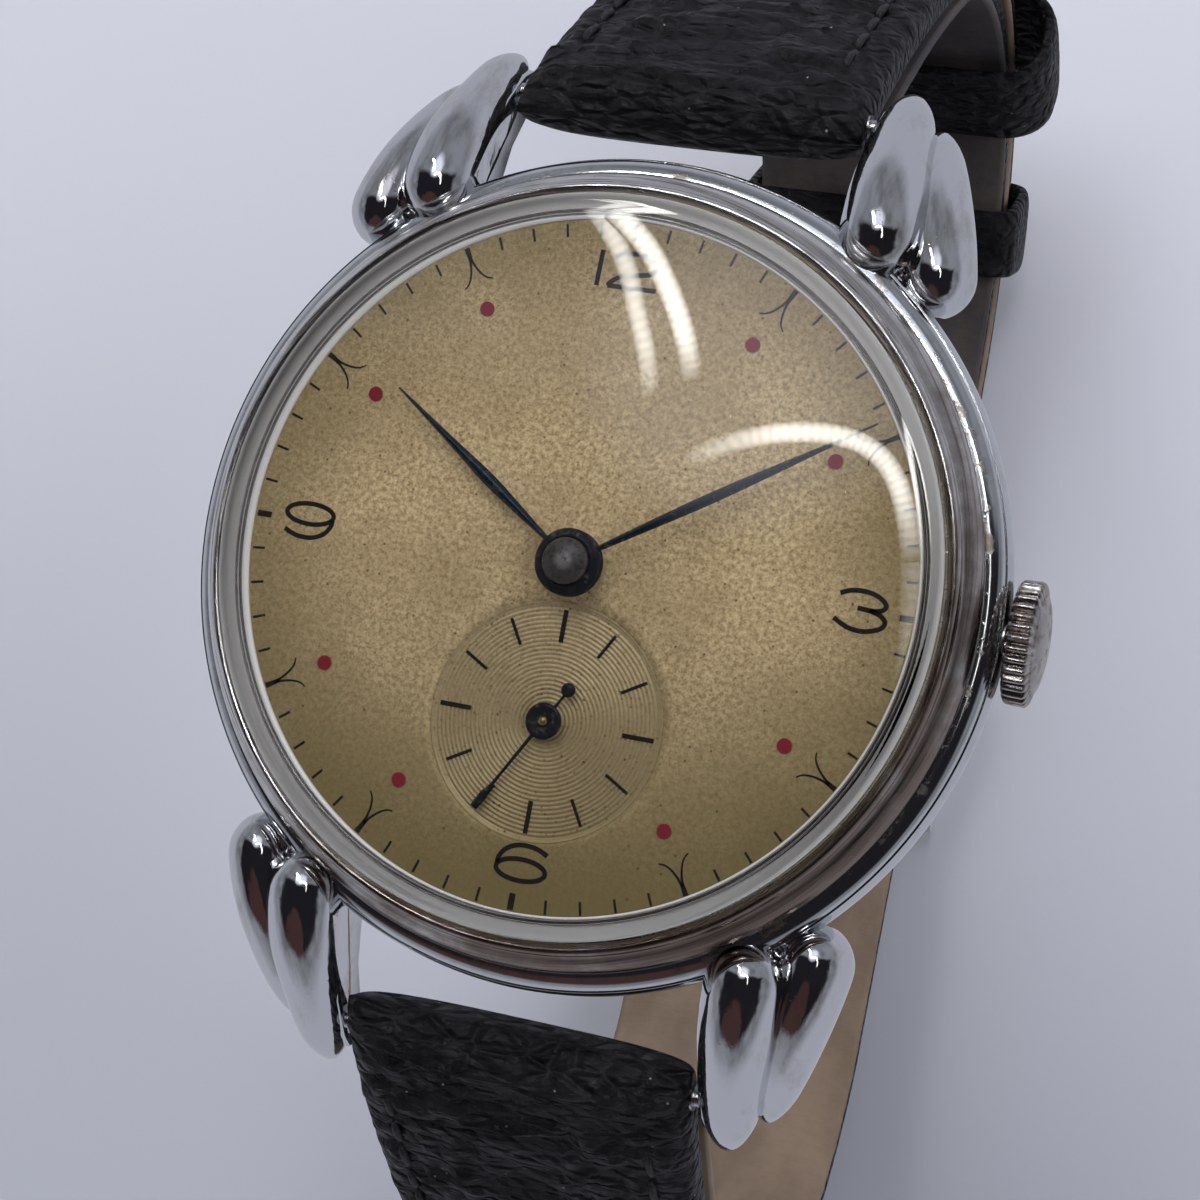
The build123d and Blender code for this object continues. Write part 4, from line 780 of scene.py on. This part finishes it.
# ---- crown
def crown(stem_z=4.0, flutes=34, steps_per_flute=12):
    """Fluted button with a domed face, turned about the stem's axis."""
    outline = ([(0.5, 18.12), (2.1, 18.12)] + arc(2.2, 18.32, 0.36, 0.2, -80, -8, 6) + [(2.58, 18.5), (2.6, 19.0)]
               + arc(2.22, 19.0, 0.38, 0.24, 6, 84, 7) + arc(0.0, 19.17, 2.15, 0.46, 12, 86, 14))
    steps = flutes * steps_per_flute
    verts = []
    for r, x in outline:
        grip = clamped((r - 2.0) / 0.4) * clamped(1 - (x - 19.25) / 0.12)
        for a in turns(steps):
            notch = 0.5 + 0.5 * cos(flutes * a)
            wobble = 0.03 * noise.noise(Vector((cos(a) * 3, sin(a) * 3, x * 2)))
            radius = r - grip * (0.20 * notch ** 1.4 + wobble)
            verts.append((x, radius * cos(a), stem_z + radius * sin(a)))
    piece("crown_button", verts, capped_faces(len(outline), steps), CROWN, body="crown_and_stem",
          replaces=["crown"], slot="crown_steel")


crown()

# ---- strap
BAR = (21.2, 1.3)
BOTTOM_Z = -44.25
FLOOR_LINE = -48.5
ARC_LENGTHS = [(21.355, 61.5), (14.949, 100.0), (23.491, 180.0)]
FIRST_HEADING = 46.0
STRAP_W, STRAP_W_REAR = 15.8, 14.6
STRAP_THICK, STRAP_THIN, TAIL_THICK = 3.4, 2.2, 2.0
FOLD_RADIUS = 1.62  # round the buckle's bar
STEPS = 24


def walk():
    """Stations (y, z, heading, distance) round the strap's loop from the 12 o'clock bar."""
    y, z, heading, gone = BAR[0], BAR[1], radians(FIRST_HEADING), 0.0
    stations = [(y, z, heading, gone)]
    for length, final in ARC_LENGTHS:
        turn = (radians(final) - heading) / STEPS
        step = length / STEPS
        for _ in range(STEPS):
            middle = heading + turn / 2
            chord = step * sin(turn / 2) / (turn / 2)
            y += chord * cos(middle)
            z -= chord * sin(middle)
            heading += turn
            gone += step
            stations.append((y, z, heading, gone))
    return stations


ROUND = walk()
CORNER_Y = ROUND[-1][0]


def half_thickness(gone):
    """The strap is padded near the lugs and thin further round."""
    share = clamped((gone - 3.0) / 22.0)
    return (STRAP_THICK + (STRAP_THIN - STRAP_THICK) * share) / 2


def half_width(z):
    """The strap narrows from the lugs down to the buckle."""
    share = clamped((BAR[1] - z) / (BAR[1] - FLOOR_LINE - 4.0))
    return (STRAP_W + (STRAP_W_REAR - STRAP_W) * share) / 2


def nose(bar, heading, radius, side=1):
    """Stations round the end that wraps the spring bar."""
    out = []
    for k in range(9):
        back = -radius * cos(pi / 2 * k / 9)
        out.append((side * (bar[0] + back * cos(heading)), bar[1] - back * sin(heading),
                    max(sqrt(max(radius ** 2 - back ** 2, 0.0)), 0.12)))
    return out


def edge_loss(gone):
    """How much thinner the strap's edges are than its padded middle."""
    return 0.16 * max(0.0, 1 - gone / 30.0) + 0.04


SEAM_INSET = 1.75
LINING_THICK = 0.5
EDGE_POWER, FACE_POWER = 0.24, 0.55  # how square the band's section is
PAD_POWER = 3.2  # how far out the padding stays flat


def spaced(stations, step=0.42):
    """The same (y, z, half thickness) line with evenly spaced stations."""
    out = [stations[0]]
    left = step
    for a, b in zip(stations, stations[1:]):
        span = dist(a[:2], b[:2])
        while left <= span:
            out.append(tuple(p + (q - p) * left / span for p, q in zip(a, b)))
            left += step
        left -= span
    return out + [stations[-1]]


def strap_lines(stations, flip):
    """Middle, outward direction, half thickness and distance gone at each station."""
    lines = []
    gone = 0.0
    for k, (y, z, half) in enumerate(stations):
        a, b = stations[max(k - 1, 0)], stations[min(k + 1, len(stations) - 1)]
        along = Vector((0, b[0] - a[0], b[1] - a[1])).normalized()
        outward = Vector((0, along.z, -along.y)) * (1 if flip else -1)
        if k:
            gone += dist(stations[k - 1][:2], (y, z))
        lines.append((Vector((0, y, z)), outward, half, gone))
    return lines


def creased(p, x, width, gone, calm):
    """Height of the leather's bulges, creases and sewn channel, in millimetres."""
    bulge, scale, crease = (abs(noise.noise(Vector(at))) for at in (
        (p.x * 0.17 + 3, p.y * 0.55, p.z * 0.55), (p.x * 0.45 + 9, p.y * 0.95 + 0.22 * p.x, p.z * 0.95),
        (p.x * 0.95 + 1, p.y * 1.7, p.z * 1.7)))
    edge = abs(x) / width
    channel = exp(-((abs(x) - (width - SEAM_INSET)) / 0.28) ** 2) if gone > 2.6 else 0.0
    fade = calm * (1 - 0.5 * edge ** 6)
    return fade * (0.5 * bulge + 0.55 * scale + 0.3 * crease - 0.28) - 0.13 * channel


def power(value, exponent):
    """Power of the size, with the sign kept."""
    return copysign(abs(value) ** exponent, value)


def band_section(count):
    """Evenly spaced (across, outward) shares round a flat section with turned edges."""
    dense = [(power(cos(turn), EDGE_POWER), power(sin(turn), FACE_POWER)) for turn in turns(2400)]
    dense.append(dense[0])
    lengths = [0.0]
    for a, b in zip(dense, dense[1:]):
        lengths.append(lengths[-1] + hypot(7.7 * (b[0] - a[0]), 1.5 * (b[1] - a[1])))
    section, at = [], 0
    for k in range(count):
        while lengths[at] < lengths[-1] * k / count:
            at += 1
        section.append(dense[at])
    return section


BAND_SECTION = band_section(120)


def leather_band(name, lines, body, replaces, calm_from, tip_at=None):
    """Padded leather over its lining, with turned edges, wrinkles and a sewn channel."""
    verts = []
    for centre, outward, half, gone in lines:
        width = band_width(centre, gone, tip_at)
        lining = LINING_THICK * clamped(gone - 2.4) * 0.9
        calm = 1.0 if gone < calm_from else 0.25
        for u, v in BAND_SECTION:
            body_half = half * (1 - edge_loss(gone) * abs(u) ** PAD_POWER)
            rise = v * body_half if v > 0 else v * max(body_half - lining, 0.1)
            p = centre + Vector((u * width, 0, 0)) + outward * rise
            if v > 0.25:
                p += outward * (creased(p, u * width, width, gone, calm) * min(1.0, 3 * half) * min(1.0, 2 * v - 0.5))
            verts.append(tuple(p))
    piece(name, verts, capped_faces(len(lines), len(BAND_SECTION)), LEATHER, body=body, replaces=replaces,
          slot="black_leather")


def band_width(centre, gone, tip_at):
    """Half the strap's width, rounded off at its tip."""
    width = half_width(centre.z)
    if tip_at is not None and gone > tip_at[0]:
        t = min((gone - tip_at[0]) / (tip_at[1] - tip_at[0]), 1.0)
        width *= sqrt(max(1 - t ** 2.2, 0.02))
    return width


def lining_band(name, lines, material, body, replaces, first, last, tip_at=None):
    """Lining glued under the leather; its raw edge shows along both sides."""
    section = [(-0.97, 0.0), (-1.004, 0.12), (-1.004, 0.88), (-0.985, 1.0), (0.985, 1.0), (1.004, 0.88),
               (1.004, 0.12), (0.97, 0.0)]
    inside = [line for line in lines if first <= line[3] <= last]
    verts = []
    for centre, outward, half, gone in inside:
        width = band_width(centre, gone, tip_at)
        for u, share in section:
            ragged = 0.05 * noise.noise(Vector((gone * 1.7, u, share))) if abs(u) > 1 else 0.0
            verts.append(tuple(centre + Vector((u * width + copysign(ragged, u), 0, 0))
                               + outward * (0.02 - half + share * LINING_THICK)))
    piece(name, verts, capped_faces(len(inside), len(section)), material, body=body, replaces=replaces,
          slot="black_leather")


def seam(name, lines, body, first, last, spacing=2.05, long=1.45):
    """Sewn threads beside both edges, on the outer face."""
    meshes = []
    for side in (-1, 1):
        at = first
        while at < last:
            points = []
            for share, sunk in ((-0.5, -0.32), (-0.36, -0.08), (-0.15, -0.03), (0.15, -0.03), (0.36, -0.08),
                                (0.5, -0.32)):
                here = at + share * long
                k = min(range(len(lines) - 1), key=lambda i: abs(lines[i][3] - here))
                a, b = lines[k], lines[k + 1]
                t = (here - a[3]) / (b[3] - a[3])
                centre = a[0].lerp(b[0], t)
                width = half_width(centre.z)
                u = (width - SEAM_INSET) / width
                lift = (a[2] * (1 - edge_loss(here) * u ** PAD_POWER)
                        * (1 - u ** (2 / EDGE_POWER)) ** (FACE_POWER / 2))
                points.append(centre + Vector((side * (width - SEAM_INSET) + 0.12 * share, 0, 0))
                              + a[1] * (lift + sunk))
            meshes.append(tube(points, 0.19))
            at += spacing
    piece(name, *merged(*meshes), THREAD, body=body, slot="black_leather")


def tube(points, radius, steps=8):
    """Closed round thread through a few points."""
    verts = []
    last = len(points) - 1
    for k, p in enumerate(points):
        along = (points[min(k + 1, last)] - points[max(k - 1, 0)]).normalized()
        across = along.cross(Vector((1, 0, 0))) if abs(along.x) < 0.9 else along.cross(Vector((0, 0, 1)))
        across.normalize()
        other = along.cross(across)
        r = radius * (0.6 if k in (0, last) else 1.0)
        verts += [tuple(p + across * (r * cos(a)) + other * (r * sin(a))) for a in turns(steps)]
    return verts, capped_faces(len(points), steps)


# half with the buckle
short_stations = nose(BAR, radians(FIRST_HEADING), STRAP_THICK / 2)
short_stations += [(y, z, half_thickness(gone)) for y, z, _, gone in ROUND]
for k in range(1, 40):
    y = CORNER_Y * (1 - k / 37)
    half = sqrt(max(FOLD_RADIUS ** 2 - y ** 2, 0.02))
    if y > -1.6:
        short_stations.append((y, BOTTOM_Z, half if y < 0 else max(STRAP_THIN / 2, half)))
short_lines = strap_lines(spaced(short_stations), False)
short_total = short_lines[-1][3]
leather_band("strap_band_12", short_lines, "buckle_half", ["strap_short"], 24.0)
lining_band("strap_lining_12", short_lines, LINING_DARK, "buckle_half", ["strap_short"], 4.0, short_total - 6.0)
seam("stitching_12", short_lines, "buckle_half", 5.4, 36.0)

# half with the holes: down, under the buckle, and back up over the other half
long_stations = nose(BAR, radians(FIRST_HEADING), STRAP_THICK / 2, side=-1)
long_stations += [(-y, z, half_thickness(gone)) for y, z, _, gone in ROUND[:-STEPS // 6]]
joint = [(-16.0, FLOOR_LINE + 4.2, 1.05), (-12.0, FLOOR_LINE + 3.95, 1.0), (-8.2, FLOOR_LINE + 3.35, 1.0),
         (-3.4, FLOOR_LINE + 2.15, 1.0), (1.5, FLOOR_LINE + 1.42, 1.0), (5.5, FLOOR_LINE + 1.85, 1.0),
         (9.0, FLOOR_LINE + 2.0, 1.0), (13.0, FLOOR_LINE + 2.0, 1.0)]
tail_offset = STRAP_THIN / 2 + 0.15 + TAIL_THICK / 2
tail = [(y + tail_offset * sin(h), z + tail_offset * cos(h), TAIL_THICK / 2)
        for y, z, h, _ in ROUND[:STEPS + 8:-1]]
long_stations += smooth_line([long_stations[-1]] + joint + [tail[0]], 6)[1:-1] + tail
total = sum(dist(a[:2], b[:2]) for a, b in zip(long_stations, long_stations[1:]))
long_lines = strap_lines(spaced(long_stations), True)
tip = (total - 9.0, total + 0.4)
leather_band("strap_band_6", long_lines, "hole_half", ["strap_long"], 40.0, tip)
lining_band("strap_lining_6", long_lines, LINING_TAN, "hole_half", ["strap_long"], 4.0, total - 1.2, tip)
seam("stitching_6", long_lines, "hole_half", 5.4, total - 11.0)


# ---- keepers
def corner_path(gone):
    """Point and outward direction on the short strap's middle at this distance from the bar."""
    if gone >= ROUND[-1][3]:
        y, z, h = CORNER_Y - (gone - ROUND[-1][3]), BOTTOM_Z, pi
    else:
        k = max(i for i in range(len(ROUND)) if ROUND[i][3] <= gone)
        a, b = ROUND[k], ROUND[min(k + 1, len(ROUND) - 1)]
        t = (gone - a[3]) / (b[3] - a[3])
        y, z, h = (a[i] + (b[i] - a[i]) * t for i in range(3))
    return Vector((0, y, z)), Vector((0, sin(h), cos(h)))


def keeper(name, first, last, clearance, slack, corner, body, replaces):
    """Leather loop with a rounded band section, bent round both thicknesses of strap."""
    low = -STRAP_THIN / 2 - clearance
    high = tail_offset + TAIL_THICK / 2 + clearance
    half = STRAP_W_REAR / 2 + slack
    thick = 0.85
    loop = []
    right, top, bottom = half - corner, high - corner, low + corner
    for quarter, (cx, cn) in enumerate(((right, top), (-right, top), (-right, bottom), (right, bottom))):
        for k in range(9):
            a = radians(90 * (quarter + k / 8))
            loop.append((cx + corner * cos(a), cn + corner * sin(a), cos(a), sin(a)))
    dense = []
    for k, p in enumerate(loop):
        q = loop[(k + 1) % len(loop)]
        gap = hypot(q[0] - p[0], q[1] - p[1])
        count = max(1, int(gap / 0.6))
        for s in range(count):
            dense.append(tuple(p[i] + (q[i] - p[i]) * s / count for i in range(4)))
    middle, reach = (first + last) / 2, (last - first) / 2
    section = [(middle + reach * power(cos(a), 0.45), thick / 2 + thick / 2 * power(sin(a), 0.7) + 0.02)
               for a in turns(20)]
    verts = []
    for x, n, dx, dn in dense:
        for gone, out in section:
            centre, outward = corner_path(gone)
            verts.append(tuple(centre + Vector((x + dx * out, 0, 0)) + outward * (n + dn * out)))
    piece(name, verts, grid_faces(len(dense), len(section), wrap_rows=True), LEATHER, body=body,
          replaces=replaces, slot="black_leather")


keeper("free_keeper_loop", 38.2, 44.0, 0.32, 1.85, 1.9, "sliding_keeper", ["free_keeper"])
keeper("fixed_keeper_loop", 49.8, 54.2, 0.04, 0.35, 0.8, "buckle_half", ["fixed_keeper"])

# ---- stage, lights and camera
FLOOR_HALF = 2500 * MM
floor_mesh = bpy.data.meshes.new("floor")
floor_mesh.from_pydata([(x * FLOOR_HALF, y * FLOOR_HALF, cad_low.z - 0.05 * MM)
                        for x, y in ((1, 1), (-1, 1), (-1, -1), (1, -1))], [], [(0, 1, 2, 3)])
floor_mesh.materials.append(floor_shader())
floor = linked("floor", floor_mesh)
floor.visible_glossy = False


def lamp(name, at, size, watts, color=(1, 1, 1)):
    """Broad soft light aimed at the origin, that no mirror shows."""
    data = bpy.data.lights.new(name, "AREA")
    data.shape = "RECTANGLE"
    data.size = data.size_y = size * MM
    data.energy = watts
    data.color = color
    obj = linked(name, data)
    obj.location = Vector(at) * MM
    obj.rotation_mode = "QUATERNION"
    obj.rotation_quaternion = Vector(at).normalized().to_track_quat("Z", "Y")
    obj.visible_camera = obj.visible_glossy = obj.visible_transmission = False


def strip_lamp(name, points, width, strength):
    """Bright curved tube of a ceiling fitting, seen only in mirrors; it fades to its edges and ends."""
    path = [Vector(p) for p in smooth_line(points, 10)]
    last = len(path) - 1
    verts, glows = [], []
    shares = (-1.0, -0.7, -0.35, 0.0, 0.35, 0.7, 1.0)
    for k, p in enumerate(path):
        along = (path[min(k + 1, last)] - path[max(k - 1, 0)]).normalized()
        side = along.cross(p.normalized())
        end = min(1.0, 4.0 * min(k, last - k) / len(path))
        for share in shares:
            verts.append(tuple((p + side * (share * width)) * MM))
            glows.append(end * (1 - share ** 2) * (0.72 + 0.28 * (k % 2)))
    mesh = bpy.data.meshes.new(name)
    mesh.from_pydata(verts, [], grid_faces(len(path), len(shares), wrap_cols=False))
    layer = mesh.color_attributes.new("glow", "FLOAT_COLOR", "POINT")
    for k, glow in enumerate(glows):
        layer.data[k].color = (glow, glow, glow, 1)
    material = bpy.data.materials.new(name)
    material.use_nodes = True
    n = Nodes(material.node_tree)
    n.tree.nodes.remove(n.tree.nodes["Principled BSDF"])
    watts = n.times(n.node("Attribute", attribute_name="glow").outputs["Fac"], strength)
    light = n.node("Emission", {"Color": (1.0, 0.985, 0.94, 1), "Strength": watts}).outputs[0]
    n.feed(n.tree.nodes["Material Output"].inputs["Surface"], light)
    mesh.materials.append(material)
    obj = linked(name, mesh)
    obj.visible_camera = obj.visible_diffuse = obj.visible_shadow = obj.visible_transmission = False


strip_lamp("strip_left", [(-196, 322, 354), (-166, 302, 385), (-142, 277, 411), (-124, 243, 436), (-106, 206, 457),
                          (-97, 175, 470)], 9, 22.0)
strip_lamp("strip_mid", [(-186, 324, 360), (-153, 308, 385), (-123, 288, 409), (-96, 256, 435), (-76, 223, 455),
                         (-65, 195, 468)], 10, 34.0)
strip_lamp("strip_level", [(-60, 130, 490), (-15, 155, 486), (25, 169, 482), (66, 173, 477), (97, 165, 475),
                           (119, 145, 477), (135, 114, 481), (146, 80, 484)], 10, 30.0)
strip_lamp("strip_right", [(140, 112, 481), (150, 66, 485), (158, 16, 487), (160, -30, 486)], 12, 5.0)
lamp("soft_top", (-180, 600, 740), 900, 11.5, (1.0, 0.99, 0.97))
lamp("soft_left", (-700, 100, 500), 700, 2.4, (0.97, 0.98, 1.0))
lamp("soft_right", (700, 150, 450), 700, 7.0, (0.98, 0.99, 1.0))


def room():
    """Pale all round, dark overhead, with the warm shape of a hand at the 6 o'clock side."""
    world = bpy.data.worlds.new("room")
    bpy.context.scene.world = world
    world.use_nodes = True
    n = Nodes(world.node_tree)
    direction = n.node("TexCoord").outputs["Generated"]
    x, y, z = n.node("SeparateXYZ", {0: direction}).outputs

    def ragged(scale):
        return n.node("TexNoise", {"Vector": direction, "Scale": scale, "Detail": 3.0}).outputs[0]

    def towards(*aim):
        return n.vector_maths("DOT_PRODUCT", direction, Vector(aim).normalized(), "Value")

    wander = n.maths("MULTIPLY_ADD", ragged(2.6), 0.16, -0.08)
    low_down = n.ramp(n.maths("ADD", z, wander), 0.50, 0.36)
    far_side = n.ramp(n.maths("ADD", y, wander), 0.26, 0.40)
    sideways = n.ramp(n.maths("ADD", n.maths("ABSOLUTE", x), wander), 0.76, 0.86)
    pale = n.maths("MAXIMUM", n.maths("MAXIMUM", low_down, far_side), sideways)
    patchy = n.mixed(n.ramp(ragged(2.4), 0.38, 0.66), (0.27, 0.28, 0.31), (0.17, 0.17, 0.19))
    walls = n.mixed(n.ramp(z, -0.12, 0.30), (0.43, 0.44, 0.50), patchy)
    hand = n.ramp(n.maths("ADD", towards(-0.12, -0.80, 0.59), wander), 0.90, 0.95)
    dark = n.mixed(hand, (0.014, 0.013, 0.016), (0.062, 0.032, 0.031))
    glow = n.ramp(towards(-0.04, 0.45, 0.89), 0.94, 0.99)
    shown = n.mixed(glow, n.mixed(pale, dark, walls), (0.98, 1.0, 1.15))
    n.feed(n.tree.nodes["Background"].inputs["Color"], shown)
    n.tree.nodes["Background"].inputs["Strength"].default_value = 1.0


room()

CAMERA_AT = (31.04, -6.94, 105.98)
RIGHT, UP, BACK = (0.94499, 0.18166, -0.27201), (-0.15896, 0.98185, 0.10347), (0.28586, -0.05454, 0.95672)
camera_data = bpy.data.cameras.new("camera")
camera_data.sensor_width, camera_data.lens = 36.0, 74.75
camera_data.clip_start, camera_data.clip_end = 0.005, 20.0
camera = linked("camera", camera_data)
camera.matrix_world = Matrix.Translation(Vector(CAMERA_AT) * MM) @ Matrix(tuple(zip(RIGHT, UP, BACK))).to_4x4()
bpy.context.scene.camera = camera
bpy.context.scene.view_settings.view_transform = "Standard"
